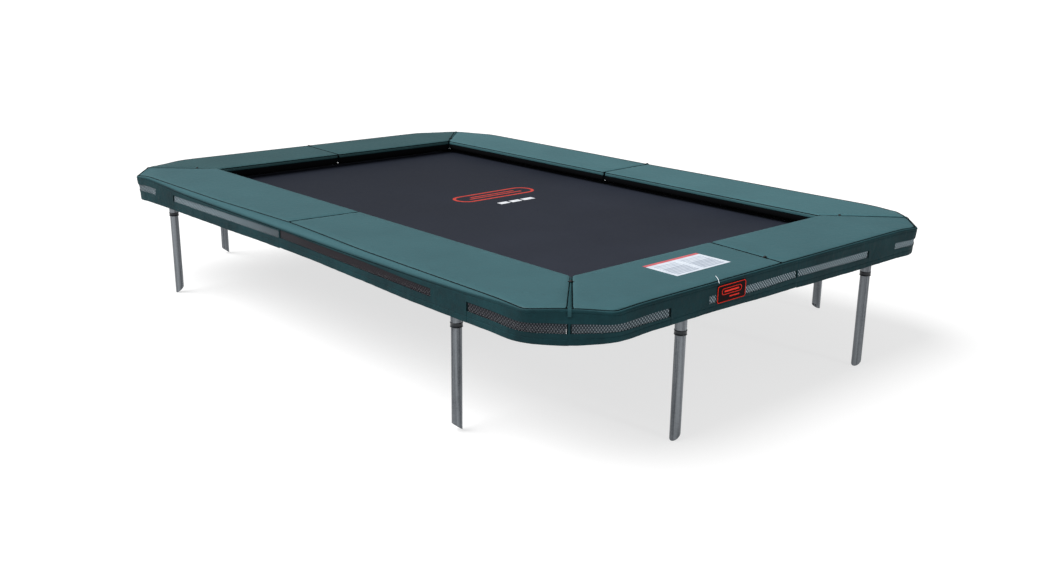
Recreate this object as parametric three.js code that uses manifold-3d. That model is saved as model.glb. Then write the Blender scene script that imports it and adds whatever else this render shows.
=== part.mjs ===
// Low rectangular garden trampoline on eight ground legs, in millimetres.
// +X runs along the long side, +Z is up, and the origin is on the ground under the centre.
// Sides are named from the front (-Y): front, back (+Y), left (-X) and right (+X).
import * as THREE from 'three';
import { mergeVertices } from 'three/addons/utils/BufferGeometryUtils.js';
import Module from 'manifold-3d';

// Frame centre line: a rectangle with round corners.
const FRAME_HALF_LENGTH = 1893;
const FRAME_HALF_WIDTH = 1265;
const CORNER_RADIUS = 360;
const FRAME_HEIGHT = 572;
const TUBE_RADIUS = 24.15;
const TUBE_WALL = 1.5;

// Each corner frame reaches past the bend by an arm that holds one leg socket.
const CORNER_ARM = 396;
const LEG_FROM_BEND = { long: 270, end: 248 }; // along the arm, from where the bend starts
const SPIGOT_LENGTH = 120;
const SPIGOT_RADIUS = 22.2;
const RAIL_WALL = 2;

// Legs slide up into the sockets and are held by a cross bolt.
const LEG_RADIUS = 22.25;
const LEG_WALL = 2;
const LEG_TOP = 540;
const FOOT_ANGLE = (40 * Math.PI) / 180; // how far the cut foot leans from level
const SOCKET_BOTTOM = 444;
const SOCKET_BORE_TOP = 541;
const COLLAR_RADIUS = 25.6;
const COLLAR_HEIGHT = 20;
const BOLT_HEIGHT = 512;
const BOLT_RADIUS = 4;
const BOLT_HOLE_RADIUS = 4.3;
const BOLT_HEAD = { radius: 7.5, height: 5.3 };
const BOLT_NUT = { radius: 7.5, height: 6.5 };

// Pads lie on the frame tube and cover the springs; inside the frame they are thicker.
const PAD_TOP = 630;
const PAD_BOTTOM = 598; // over the frame tube
const PAD_UNDERSIDE = 578; // over the springs
const PAD_STEP = 140; // from the outer edge in to where the thicker part starts
const PAD_OUTSET = 29; // outer edge, outside the frame centre line
const PAD_WIDTH = 430;
const PAD_CHAMFER = 243;
const PAD_GAP = 5;

// The skirt hangs round the frame; mesh bands behind its windows let air through.
const SKIRT_TOP = 597.5;
const SKIRT_BOTTOM = 492;
const SKIRT_OUTSET = 29;
const SKIRT_THICKNESS = 2;
const SKIRT_GAP = 2;
const WINDOW_BOTTOM = 536;
const WINDOW_TOP = 575;
const WINDOW_MARGIN = 10;
const LEG_PATCH_WIDTH = 226; // the plain stretch of skirt beside each leg, between two windows
const MESH_OUTSET = 26;
const MESH_THICKNESS = 1;
const MESH_OVERLAP = 7;

// Jump mat, webbing hem and springs.
const MAT_BOTTOM = 545;
const MAT_THICKNESS = 3;
const MAT_INSET = 302; // from the frame centre line
const HEM_WIDTH = 50;
const HEM_THICKNESS = 3;
const SPRING_RADIUS = 6.3; // a solid rod with the weight of one coil spring
const SPRING_OUTER_INSET = 27;
const SPRING_INNER_INSET = 280;
const SPRING_INNER_HEIGHT = 546.5;
const SPRING_PITCH = 118;
const SPRINGS_LONG = 26;
const SPRINGS_END = 15;
const SPRINGS_CORNER = 4;
const LINK_INSET = 47; // the slim bar that joins the springs of one bank
const LINK_SIZE = 8;

// Sewn-on patches: a care label on a pad and a badge on the skirt, both blank.
const LABEL = { x: 1680, y: -380, width: 188, length: 340, thickness: 0.6 };
const BADGE = { y: -392, z: 574, length: 184, height: 76, corner: 12, thickness: 1 };

const CLEARANCE = 0.3;
const OVERCUT = 5;
const TUBE_SIDES = 12;
const LEG_SIDES = 16;
const BOLT_SIDES = 8;
const ROD_SIDES = 5;
const BEND_STEPS = 8;
const SHEET_STEPS = 6; // per eighth turn of a corner

const STRAIGHT = {
  long: FRAME_HALF_LENGTH - CORNER_RADIUS,
  end: FRAME_HALF_WIDTH - CORNER_RADIUS,
};
const EIGHTH_TURN = Math.PI / 4;
// patchFrom is where the skirt's plain stretch starts, measured from the leg towards the corner.
const CORNERS = [
  { name: 'front_left', x: -1, y: -1, patchFrom: -74 },
  { name: 'front_right', x: 1, y: -1, patchFrom: -128 },
  { name: 'back_right', x: 1, y: 1, patchFrom: -74 },
  { name: 'back_left', x: -1, y: 1, patchFrom: -128 },
];

const MATERIALS = {
  tube: new THREE.MeshStandardMaterial({ color: 0x8b9093, roughness: 0.45, metalness: 0.9 }),
  spring: new THREE.MeshStandardMaterial({ color: 0xa3a7aa, roughness: 0.35, metalness: 0.95 }),
  bolt: new THREE.MeshStandardMaterial({ color: 0x9a9da0, roughness: 0.3, metalness: 0.95 }),
  pad: new THREE.MeshStandardMaterial({ color: 0x4e7579, roughness: 0.6, metalness: 0 }),
  skirt: new THREE.MeshStandardMaterial({ color: 0x24474b, roughness: 0.7, metalness: 0 }),
  mesh: new THREE.MeshStandardMaterial({ color: 0x17191c, roughness: 0.85, metalness: 0 }),
  mat: new THREE.MeshStandardMaterial({ color: 0x33343f, roughness: 0.75, metalness: 0 }),
  webbing: new THREE.MeshStandardMaterial({ color: 0x1c1d21, roughness: 0.85, metalness: 0 }),
  label: new THREE.MeshStandardMaterial({ color: 0xd6dbdc, roughness: 0.55, metalness: 0 }),
  badge: new THREE.MeshStandardMaterial({ color: 0x8f2227, roughness: 0.55, metalness: 0 }),
};

const wasm = await Module();
wasm.setup();
const part = new THREE.Group();

// ---- solids ----

function toSolid(geometry) {
  const bare = geometry.clone();
  bare.deleteAttribute('normal');
  bare.deleteAttribute('uv');
  const merged = mergeVertices(bare, 1e-3);
  const mesh = new wasm.Mesh({
    numProp: 3,
    vertProperties: new Float32Array(merged.attributes.position.array),
    triVerts: new Uint32Array(merged.index.array),
  });
  return new wasm.Manifold(mesh);
}

function toGeometry(solid) {
  const mesh = solid.getMesh();
  const geometry = new THREE.BufferGeometry();
  geometry.setAttribute('position', new THREE.BufferAttribute(mesh.vertProperties, 3));
  geometry.setIndex(new THREE.BufferAttribute(mesh.triVerts, 1));
  geometry.computeVertexNormals();
  return geometry;
}

function addPart(name, geometry, material) {
  const mesh = new THREE.Mesh(geometry, material);
  mesh.name = name;
  part.add(mesh);
}

function extrude(points, bottom, top, holePoints) {
  const shape = new THREE.Shape(points);
  if (holePoints) {
    shape.holes.push(new THREE.Path(holePoints));
  }
  const geometry = new THREE.ExtrudeGeometry(shape, { depth: top - bottom, bevelEnabled: false });
  geometry.translate(0, 0, bottom);
  return geometry;
}

function uprightCylinder(radius, bottom, top, sides, x, y) {
  const geometry = new THREE.CylinderGeometry(radius, radius, top - bottom, sides);
  geometry.rotateX(Math.PI / 2);
  geometry.translate(x, y, (top + bottom) / 2);
  return geometry;
}

// ---- places along the frame ----

// A point at distance u along the frame from the middle of a side, in the +X +Y quarter.
// outset is measured outwards from the frame centre line.
function sidePoint(side, u, outset) {
  const straight = STRAIGHT[side];
  const turn = Math.max(0, u - straight) / CORNER_RADIUS;
  const along = Math.min(u, straight) + (CORNER_RADIUS + outset) * Math.sin(turn);
  const across = (CORNER_RADIUS + outset) * Math.cos(turn);
  return side === 'long'
    ? new THREE.Vector2(along, STRAIGHT.end + across)
    : new THREE.Vector2(STRAIGHT.long + across, along);
}

const halfSideLength = (side) => STRAIGHT[side] + CORNER_RADIUS * EIGHTH_TURN;

// The distances u to sample between from and to: the straight stretch needs only its ends.
function sideStations(side, from, to) {
  const straight = STRAIGHT[side];
  const step = (CORNER_RADIUS * EIGHTH_TURN) / SHEET_STEPS;
  const stations = [from];
  for (let i = 0; i <= SHEET_STEPS; i += 1) {
    const u = straight + i * step;
    if (u > from + 1 && u < to - 1) {
      stations.push(u);
    }
  }
  stations.push(to);
  return stations;
}

// A thin upright wall that follows the frame, in the quarter of the given corner.
function sideWall(corner, side, from, to, outset, thickness, bottom, top) {
  const stations = sideStations(side, from, to);
  const outer = stations.map((u) => sidePoint(side, u, outset));
  const inner = stations.map((u) => sidePoint(side, u, outset - thickness)).reverse();
  const mirror = new THREE.Vector2(corner.x, corner.y);
  const points = [...outer, ...inner].map((point) => point.multiply(mirror));
  return extrude(points, bottom, top);
}

// A closed loop parallel to the frame, at one outset all round.
function loop(outset) {
  const points = [];
  CORNERS.forEach((corner, index) => {
    const start = Math.PI + (index * Math.PI) / 2;
    for (let i = 0; i <= 2 * SHEET_STEPS; i += 1) {
      const angle = start + (i * EIGHTH_TURN) / SHEET_STEPS;
      points.push(new THREE.Vector2(
        corner.x * STRAIGHT.long + (CORNER_RADIUS + outset) * Math.cos(angle),
        corner.y * STRAIGHT.end + (CORNER_RADIUS + outset) * Math.sin(angle),
      ));
    }
  });
  return points;
}

function legPlace(corner, side) {
  return side === 'long'
    ? { x: corner.x * (STRAIGHT.long - LEG_FROM_BEND.long), y: corner.y * FRAME_HALF_WIDTH }
    : { x: corner.x * FRAME_HALF_LENGTH, y: corner.y * (STRAIGHT.end - LEG_FROM_BEND.end) };
}

// ---- frame ----

// Centre line of one corner frame: arm, quarter bend, arm. Equal steps of t are the stations.
class CornerPath extends THREE.Curve {
  constructor(corner, overrun) {
    super();
    this.corner = corner;
    this.arm = CORNER_ARM + overrun;
    this.steps = BEND_STEPS + 2;
  }

  getPoint(t) {
    const station = t * this.steps - 1;
    const turn = (Math.min(Math.max(station, 0), BEND_STEPS) / BEND_STEPS) * (Math.PI / 2);
    const before = Math.max(0, -station) * this.arm;
    const after = Math.max(0, station - BEND_STEPS) * this.arm;
    return new THREE.Vector3(
      this.corner.x * (STRAIGHT.long + CORNER_RADIUS * Math.sin(turn) - before),
      this.corner.y * (STRAIGHT.end + CORNER_RADIUS * Math.cos(turn) - after),
      FRAME_HEIGHT,
    );
  }

  getPointAt(t) {
    return this.getPoint(t);
  }

  getTangentAt(t) {
    const station = t * this.steps - 1;
    const turn = (Math.min(Math.max(station, 0), BEND_STEPS) / BEND_STEPS) * (Math.PI / 2);
    return new THREE.Vector3(this.corner.x * Math.cos(turn), -this.corner.y * Math.sin(turn), 0);
  }
}

function bentRod(corner, radius, overrun) {
  const section = new THREE.Shape().absarc(0, 0, radius, 0, 2 * Math.PI, false);
  const path = new CornerPath(corner, overrun);
  const options = { steps: path.steps, curveSegments: TUBE_SIDES / 2, extrudePath: path };
  return toSolid(new THREE.ExtrudeGeometry(section, { ...options, bevelEnabled: false }));
}

function boltHole(place, side) {
  const hole = new THREE.CylinderGeometry(BOLT_HOLE_RADIUS, BOLT_HOLE_RADIUS, 100, BOLT_SIDES);
  if (side === 'long') {
    hole.rotateZ(Math.PI / 2);
  }
  hole.translate(place.x, place.y, BOLT_HEIGHT);
  return toSolid(hole);
}

function cornerFrame(corner) {
  const bore = TUBE_RADIUS - TUBE_WALL;
  let solid = bentRod(corner, TUBE_RADIUS, 0);
  for (const side of ['long', 'end']) {
    const { x, y } = legPlace(corner, side);
    const collarTop = SOCKET_BOTTOM + COLLAR_HEIGHT;
    solid = solid
      .add(toSolid(uprightCylinder(TUBE_RADIUS, SOCKET_BOTTOM, FRAME_HEIGHT, LEG_SIDES, x, y)))
      .add(toSolid(uprightCylinder(COLLAR_RADIUS, SOCKET_BOTTOM, collarTop, LEG_SIDES, x, y)));
  }
  solid = solid.subtract(bentRod(corner, bore, OVERCUT));
  for (const side of ['long', 'end']) {
    const { x, y } = legPlace(corner, side);
    const socketBore = uprightCylinder(bore, SOCKET_BOTTOM - OVERCUT, SOCKET_BORE_TOP, LEG_SIDES, x, y);
    solid = solid.subtract(toSolid(socketBore)).subtract(boltHole({ x, y }, side));
  }
  return toGeometry(solid);
}

// A straight tube whose narrowed ends plug into two corner frames.
function rail(halfSpan) {
  const shoulder = halfSpan - CLEARANCE;
  const end = halfSpan + SPIGOT_LENGTH;
  const neck = shoulder - SPIGOT_LENGTH / 10;
  const profile = [
    [SPIGOT_RADIUS - RAIL_WALL, -end],
    [SPIGOT_RADIUS, -end],
    [SPIGOT_RADIUS, -shoulder],
    [TUBE_RADIUS, -shoulder],
    [TUBE_RADIUS, shoulder],
    [SPIGOT_RADIUS, shoulder],
    [SPIGOT_RADIUS, end],
    [SPIGOT_RADIUS - RAIL_WALL, end],
    [SPIGOT_RADIUS - RAIL_WALL, neck],
    [TUBE_RADIUS - RAIL_WALL, neck],
    [TUBE_RADIUS - RAIL_WALL, -neck],
    [SPIGOT_RADIUS - RAIL_WALL, -neck],
    [SPIGOT_RADIUS - RAIL_WALL, -end],
  ];
  return new THREE.LatheGeometry(profile.map(([r, h]) => new THREE.Vector2(r, h)), TUBE_SIDES);
}

function longRail(y) {
  const geometry = rail(STRAIGHT.long - CORNER_ARM);
  geometry.rotateZ(-Math.PI / 2);
  geometry.translate(0, y, FRAME_HEIGHT);
  return toGeometry(toSolid(geometry));
}

function endRail(x) {
  const geometry = rail(STRAIGHT.end - CORNER_ARM);
  geometry.translate(x, 0, FRAME_HEIGHT);
  return toGeometry(toSolid(geometry));
}

// ---- legs ----

// The foot is cut off at an angle, with its point towards tipSide along Y.
function leg(place, side, tipSide) {
  const inner = LEG_RADIUS - LEG_WALL;
  const profile = [[inner, 0], [LEG_RADIUS, 0], [LEG_RADIUS, LEG_TOP], [inner, LEG_TOP], [inner, 0]];
  const tube = new THREE.LatheGeometry(profile.map(([r, h]) => new THREE.Vector2(r, h)), LEG_SIDES);
  tube.rotateX(Math.PI / 2);
  tube.translate(place.x, place.y, 0);
  const size = 8 * LEG_RADIUS;
  const cutter = new THREE.BoxGeometry(size, size, size);
  cutter.translate(0, 0, -size / 2);
  cutter.rotateX(-tipSide * FOOT_ANGLE);
  cutter.translate(place.x, place.y, LEG_RADIUS * Math.tan(FOOT_ANGLE));
  return toGeometry(toSolid(tube).subtract(toSolid(cutter)).subtract(boltHole(place, side)));
}

function legBolt(place, side) {
  const reach = TUBE_RADIUS + CLEARANCE;
  const shaftLength = 2 * reach + BOLT_NUT.height;
  const shaft = new THREE.CylinderGeometry(BOLT_RADIUS, BOLT_RADIUS, shaftLength, BOLT_SIDES);
  const head = new THREE.CylinderGeometry(BOLT_HEAD.radius, BOLT_HEAD.radius, BOLT_HEAD.height, 6);
  head.translate(0, reach + BOLT_HEAD.height / 2, 0);
  const nut = new THREE.CylinderGeometry(BOLT_NUT.radius, BOLT_NUT.radius, BOLT_NUT.height, 6);
  nut.translate(0, -reach - BOLT_NUT.height / 2, 0);
  const geometry = toGeometry(toSolid(shaft).add(toSolid(head)).add(toSolid(nut)));
  if (side === 'long') {
    geometry.rotateZ(Math.PI / 2);
  }
  geometry.translate(place.x, place.y, BOLT_HEIGHT);
  return geometry;
}

// ---- pads, skirt and mesh ----

// The outline of a pad whose outer edge is drawn in by inset.
function padOutline(corner, side, inset) {
  const fullX = FRAME_HALF_LENGTH + PAD_OUTSET;
  const fullY = FRAME_HALF_WIDTH + PAD_OUTSET;
  const outerX = fullX - inset;
  const outerY = fullY - inset;
  const innerX = fullX - PAD_WIDTH;
  const innerY = fullY - PAD_WIDTH;
  const cornerCut = PAD_CHAMFER - inset * (2 - Math.SQRT2);
  const chamferSum = outerX + outerY - cornerCut; // x + y on the cut corner
  const mitre = innerX - innerY; // x - y on the joint between the two pads
  const shift = PAD_GAP / Math.SQRT2;
  const outline = side === 'long'
    ? [
      [PAD_GAP / 2, innerY],
      [innerX - shift, innerY],
      [(chamferSum + mitre - shift) / 2, (chamferSum - mitre + shift) / 2],
      [outerX - cornerCut, outerY],
      [PAD_GAP / 2, outerY],
    ]
    : [
      [innerX, PAD_GAP / 2],
      [outerX, PAD_GAP / 2],
      [outerX, outerY - cornerCut],
      [(chamferSum + mitre + shift) / 2, (chamferSum - mitre - shift) / 2],
      [innerX, innerY - shift],
    ];
  return outline.map(([x, y]) => new THREE.Vector2(corner.x * x, corner.y * y));
}

function pad(corner, side) {
  const cover = extrude(padOutline(corner, side, 0), PAD_BOTTOM, PAD_TOP);
  const underside = extrude(padOutline(corner, side, PAD_STEP), PAD_UNDERSIDE, PAD_BOTTOM + OVERCUT);
  return toGeometry(toSolid(cover).add(toSolid(underside)));
}

function skirtPanel(corner, side) {
  const from = SKIRT_GAP / 2;
  const to = halfSideLength(side) - SKIRT_GAP / 2;
  const patchStart = STRAIGHT[side] - LEG_FROM_BEND[side] + corner.patchFrom;
  const windows = [
    [from + WINDOW_MARGIN, patchStart],
    [patchStart + LEG_PATCH_WIDTH, to - WINDOW_MARGIN],
  ];
  const panel = [SKIRT_OUTSET, SKIRT_THICKNESS, SKIRT_BOTTOM, SKIRT_TOP];
  const opening = [SKIRT_OUTSET + OVERCUT, SKIRT_THICKNESS + 2 * OVERCUT, WINDOW_BOTTOM, WINDOW_TOP];
  let solid = toSolid(sideWall(corner, side, from, to, ...panel));
  for (const [start, end] of windows) {
    solid = solid.subtract(toSolid(sideWall(corner, side, start, end, ...opening)));
  }
  return toGeometry(solid);
}

function meshBand(corner, side) {
  const from = SKIRT_GAP / 2 + WINDOW_MARGIN - MESH_OVERLAP;
  const to = halfSideLength(side) - from;
  const bottom = WINDOW_BOTTOM - MESH_OVERLAP;
  const top = WINDOW_TOP + MESH_OVERLAP;
  return sideWall(corner, side, from, to, MESH_OUTSET, MESH_THICKNESS, bottom, top);
}

function labelPatch() {
  const { x, y, width, length, thickness } = LABEL;
  const geometry = new THREE.BoxGeometry(width, length, thickness);
  geometry.translate(x, y, PAD_TOP + CLEARANCE + thickness / 2);
  return geometry;
}

function badgePatch() {
  const { y, z, length, height, corner, thickness } = BADGE;
  const shape = new THREE.Shape();
  const right = length / 2 - corner;
  const top = height / 2 - corner;
  shape.absarc(right, top, corner, 0, Math.PI / 2, false);
  shape.absarc(-right, top, corner, Math.PI / 2, Math.PI, false);
  shape.absarc(-right, -top, corner, Math.PI, 1.5 * Math.PI, false);
  shape.absarc(right, -top, corner, 1.5 * Math.PI, 2 * Math.PI, false);
  const options = { depth: thickness, bevelEnabled: false, curveSegments: 4 };
  const geometry = new THREE.ExtrudeGeometry(shape, options);
  geometry.rotateX(Math.PI / 2);
  geometry.rotateZ(Math.PI / 2);
  geometry.translate(FRAME_HALF_LENGTH + SKIRT_OUTSET + CLEARANCE, y, z);
  return geometry;
}

// ---- mat and springs ----

function springRod(outer, inner) {
  const start = new THREE.Vector3(outer.x, outer.y, FRAME_HEIGHT);
  const finish = new THREE.Vector3(inner.x, inner.y, SPRING_INNER_HEIGHT);
  const rod = new THREE.CylinderGeometry(SPRING_RADIUS, SPRING_RADIUS, start.distanceTo(finish), ROD_SIDES);
  const direction = finish.clone().sub(start).normalize();
  rod.applyQuaternion(new THREE.Quaternion().setFromUnitVectors(THREE.Object3D.DEFAULT_UP, direction));
  const middle = start.add(finish).multiplyScalar(0.5);
  rod.translate(middle.x, middle.y, middle.z);
  return toSolid(rod);
}

// Height of the spring line at an inset from the frame centre line.
function springHeight(inset) {
  const share = (inset - SPRING_OUTER_INSET) / (SPRING_INNER_INSET - SPRING_OUTER_INSET);
  return FRAME_HEIGHT + share * (SPRING_INNER_HEIGHT - FRAME_HEIGHT);
}

// The springs of one straight side; toFrame turns (along, outset) into a point on that side.
function sideBank(count, toFrame) {
  const reach = ((count - 1) / 2) * SPRING_PITCH;
  const edges = [-LINK_INSET - LINK_SIZE / 2, -LINK_INSET + LINK_SIZE / 2];
  const corners = [
    toFrame(-reach, edges[0]),
    toFrame(reach, edges[0]),
    toFrame(reach, edges[1]),
    toFrame(-reach, edges[1]),
  ];
  const middle = springHeight(LINK_INSET);
  let solid = toSolid(extrude(corners, middle - LINK_SIZE / 2, middle + LINK_SIZE / 2));
  for (let i = 0; i < count; i += 1) {
    const along = i * SPRING_PITCH - reach;
    solid = solid.add(springRod(toFrame(along, -SPRING_OUTER_INSET), toFrame(along, -SPRING_INNER_INSET)));
  }
  return toGeometry(solid);
}

function cornerBank(corner) {
  const at = (angle, outset) => new THREE.Vector2(
    corner.x * (STRAIGHT.long + (CORNER_RADIUS + outset) * Math.sin(angle)),
    corner.y * (STRAIGHT.end + (CORNER_RADIUS + outset) * Math.cos(angle)),
  );
  const step = Math.PI / 2 / (SPRINGS_CORNER + 1);
  const angles = Array.from({ length: SPRINGS_CORNER }, (_, i) => (i + 1) * step);
  const outer = angles.map((angle) => at(angle, -LINK_INSET + LINK_SIZE / 2));
  const inner = angles.map((angle) => at(angle, -LINK_INSET - LINK_SIZE / 2)).reverse();
  const middle = springHeight(LINK_INSET);
  let solid = toSolid(extrude([...outer, ...inner], middle - LINK_SIZE / 2, middle + LINK_SIZE / 2));
  for (const angle of angles) {
    solid = solid.add(springRod(at(angle, -SPRING_OUTER_INSET), at(angle, -SPRING_INNER_INSET)));
  }
  return toGeometry(solid);
}

function jumpMat() {
  return extrude(loop(-MAT_INSET), MAT_BOTTOM, MAT_BOTTOM + MAT_THICKNESS);
}

function matHem() {
  const bottom = MAT_BOTTOM + MAT_THICKNESS + CLEARANCE;
  const hole = loop(-MAT_INSET - HEM_WIDTH);
  return extrude(loop(-MAT_INSET), bottom, bottom + HEM_THICKNESS, hole);
}

// ---- assembly ----

for (const corner of CORNERS) {
  addPart(`corner_frame_${corner.name}`, cornerFrame(corner), MATERIALS.tube);
  addPart(`springs_corner_${corner.name}`, cornerBank(corner), MATERIALS.spring);
  for (const side of ['long', 'end']) {
    const place = legPlace(corner, side);
    const tipSide = side === 'long' ? corner.x : -corner.x;
    addPart(`leg_${corner.name}_${side}`, leg(place, side, tipSide), MATERIALS.tube);
    addPart(`leg_bolt_${corner.name}_${side}`, legBolt(place, side), MATERIALS.bolt);
    addPart(`pad_${corner.name}_${side}`, pad(corner, side), MATERIALS.pad);
    addPart(`skirt_${corner.name}_${side}`, skirtPanel(corner, side), MATERIALS.skirt);
    addPart(`vent_mesh_${corner.name}_${side}`, meshBand(corner, side), MATERIALS.mesh);
  }
}

for (const [name, sign] of [['front', -1], ['back', 1]]) {
  const toFrame = (along, outset) => new THREE.Vector2(along, sign * (FRAME_HALF_WIDTH + outset));
  addPart(`rail_${name}`, longRail(sign * FRAME_HALF_WIDTH), MATERIALS.tube);
  addPart(`springs_${name}`, sideBank(SPRINGS_LONG, toFrame), MATERIALS.spring);
}

for (const [name, sign] of [['left', -1], ['right', 1]]) {
  const toFrame = (along, outset) => new THREE.Vector2(sign * (FRAME_HALF_LENGTH + outset), along);
  addPart(`rail_${name}`, endRail(sign * FRAME_HALF_LENGTH), MATERIALS.tube);
  addPart(`springs_${name}`, sideBank(SPRINGS_END, toFrame), MATERIALS.spring);
}

addPart('jump_mat', jumpMat(), MATERIALS.mat);
addPart('mat_hem', matHem(), MATERIALS.webbing);
addPart('label_patch', labelPatch(), MATERIALS.label);
addPart('badge_patch', badgePatch(), MATERIALS.badge);

export default part;
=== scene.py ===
"""Looks of a low rectangular garden trampoline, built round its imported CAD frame. Metres, +Z up."""

import math

import bmesh
import bpy
import numpy as np
from mathutils import Matrix, Vector, noise
from mathutils.bvhtree import BVHTree


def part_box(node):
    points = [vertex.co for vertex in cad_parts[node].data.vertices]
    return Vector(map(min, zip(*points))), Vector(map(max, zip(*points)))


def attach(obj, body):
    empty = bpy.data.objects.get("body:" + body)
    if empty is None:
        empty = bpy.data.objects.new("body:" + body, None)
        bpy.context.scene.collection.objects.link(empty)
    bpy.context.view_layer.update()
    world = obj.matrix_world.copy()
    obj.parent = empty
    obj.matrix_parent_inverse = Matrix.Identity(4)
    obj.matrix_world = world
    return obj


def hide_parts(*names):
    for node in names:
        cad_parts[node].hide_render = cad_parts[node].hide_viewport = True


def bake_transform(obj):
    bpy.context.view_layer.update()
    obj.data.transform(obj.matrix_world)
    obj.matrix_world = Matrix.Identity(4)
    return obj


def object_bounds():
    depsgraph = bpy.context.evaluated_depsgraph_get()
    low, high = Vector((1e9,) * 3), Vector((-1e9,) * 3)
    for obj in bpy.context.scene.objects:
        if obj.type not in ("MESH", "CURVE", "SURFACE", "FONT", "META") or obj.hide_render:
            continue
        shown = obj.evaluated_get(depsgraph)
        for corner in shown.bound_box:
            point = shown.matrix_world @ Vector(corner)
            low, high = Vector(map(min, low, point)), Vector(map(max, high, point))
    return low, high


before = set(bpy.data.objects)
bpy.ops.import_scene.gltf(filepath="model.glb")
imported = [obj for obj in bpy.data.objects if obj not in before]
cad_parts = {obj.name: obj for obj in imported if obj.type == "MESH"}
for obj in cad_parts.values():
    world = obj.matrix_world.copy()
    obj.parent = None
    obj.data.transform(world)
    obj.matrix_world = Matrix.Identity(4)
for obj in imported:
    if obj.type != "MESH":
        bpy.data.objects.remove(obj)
cad_low, cad_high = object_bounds()

# ---- main sizes, read from the CAD frame where it has them ----

MM = 0.001
DIAGONAL = math.sqrt(0.5)
CORNERS = {"front_left": (-1, -1), "front_right": (1, -1), "back_right": (1, 1), "back_left": (-1, 1)}
RAILS = {"front": (0, -1), "back": (0, 1), "left": (-1, 0), "right": (1, 0)}
SIDES = ("long", "end")


def middle(node):
    low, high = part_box(node)
    return (low + high) / 2


def rail_of(corner, side):
    """The side of the frame that a corner's long or end half is on."""
    return corner.split("_")[side == "end"]


HALF_LENGTH = middle("rail_right").x  # frame centre line
HALF_WIDTH = middle("rail_back").y
TUBE_Z = middle("rail_back").z
BEND = 360 * MM
TUBE_RADIUS = 24.15 * MM
STRAIGHT = {"long": HALF_LENGTH - BEND, "end": HALF_WIDTH - BEND}
LEG_INSIDE_BEND = {"long": 270 * MM, "end": 248 * MM}
PATCH_FROM = {  # where the plain patch round a leg starts, measured from the leg
    "front_left": -74 * MM, "front_right": -128 * MM, "back_right": -74 * MM, "back_left": -128 * MM
}
PATCH_SHIFT = {("back_right", "end"): -37 * MM}
PATCH_WIDTH = 226 * MM

PAD_UNDERSIDE, PAD_TOP = (v.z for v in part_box("pad_front_right_long"))
PAD_OVER_TUBE = 598.6 * MM
OUTER = {"x": cad_high.x - 1.3 * MM, "y": cad_high.y}
PAD_WIDTH = 430 * MM
CHAMFER = 243 * MM

SKIRT_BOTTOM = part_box("skirt_front_right_long")[0].z
WINDOW_BOTTOM = 536 * MM
WINDOW_TOP = 575 * MM
WINDOW_MARGIN = 3 * MM

MAT_BOTTOM, MAT_TOP = (v.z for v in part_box("jump_mat"))
MAT_INSET = 302 * MM
SPRING_PITCH = 118 * MM

# ---- mesh helpers ----


def xyz(*parts):
    """Joins coordinates, each a number or a grid of numbers, into points."""
    return np.stack(np.broadcast_arrays(*parts), -1)


def raised(flat, z):
    """Flat points at a height."""
    return xyz(flat[..., 0], flat[..., 1], z)


class Shape:
    """Points and faces that grow part by part, with the number of each face's material."""

    def __init__(self):
        self.points, self.faces, self.marks, self.count = [], [], [], 0

    def add(self, points, faces, marks=(0, 0, 0)):
        points = np.asarray(points, float).reshape(-1, 3)
        self.points.append(points)
        for part, mark in zip(faces, marks):
            listed = (np.asarray(part, int) + self.count).tolist() if len(part) else []
            self.faces += listed
            self.marks += [mark] * len(listed)
        self.count += len(points)
        return self


def build(name, shape, looks, crease=None, out=False, smooth=True):
    """Makes a piece. Edges sharper than crease degrees stay crisp, and out turns its faces outwards."""
    if isinstance(shape, tuple):
        shape = Shape().add(*shape)
    mesh = bpy.data.meshes.new(name)
    mesh.from_pydata(np.concatenate(shape.points).tolist(), [], shape.faces)
    mesh.update()
    for look in looks if isinstance(looks, list) else [looks]:
        mesh.materials.append(look)
    mesh.polygons.foreach_set("material_index", np.array(shape.marks, np.int32))
    mesh.polygons.foreach_set("use_smooth", np.full(len(mesh.polygons), smooth))
    if out:
        made = bmesh.new()
        made.from_mesh(mesh)
        bmesh.ops.recalc_face_normals(made, faces=made.faces)
        made.to_mesh(mesh)
        made.free()
    if crease:
        mesh.set_sharp_from_angle(angle=math.radians(crease))
    piece = bpy.data.objects.new(name, mesh)
    bpy.context.scene.collection.objects.link(piece)
    return piece


def place(piece, node=None, body="root"):
    """Attaches a piece to its body and hides the CAD node that it stands for."""
    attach(piece, body)
    if node:
        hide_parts(node)
    return piece


def mirror(points, faces, signs):
    """A shape of the +X +Y quarter, moved to another quarter with its faces still pointing out."""
    if signs[0] * signs[1] < 0:
        faces = tuple(np.asarray(part)[:, ::-1] for part in faces)
    return points * [*signs, 1], faces


def grid_quads(rows, columns, wrap_rows=False, wrap_columns=False):
    i, j = np.indices((rows - (not wrap_rows), columns - (not wrap_columns))).reshape(2, -1)
    i2, j2 = (i + 1) % rows, (j + 1) % columns
    return xyz(i * columns + j, i * columns + j2, i2 * columns + j2, i2 * columns + j)


def unit(v):
    return v / np.maximum(np.linalg.norm(v, axis=-1, keepdims=True), 1e-12)


def turns(sides):
    return np.arange(sides) * 2 * math.pi / sides


def turned(rows, sides, x=0.0, y=0.0):
    """Rings of (radius, height) about a vertical line; either may differ round the ring."""
    angle = turns(sides)
    return np.concatenate([xyz(x + r * np.cos(angle), y + r * np.sin(angle), z) for r, z in rows])


def lathe(profile, sides, x=0.0, y=0.0):
    """A closed profile of (radius, height) turned about a vertical line."""
    return turned(profile, sides, x, y), (grid_quads(len(profile), sides, True, True),)


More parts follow.
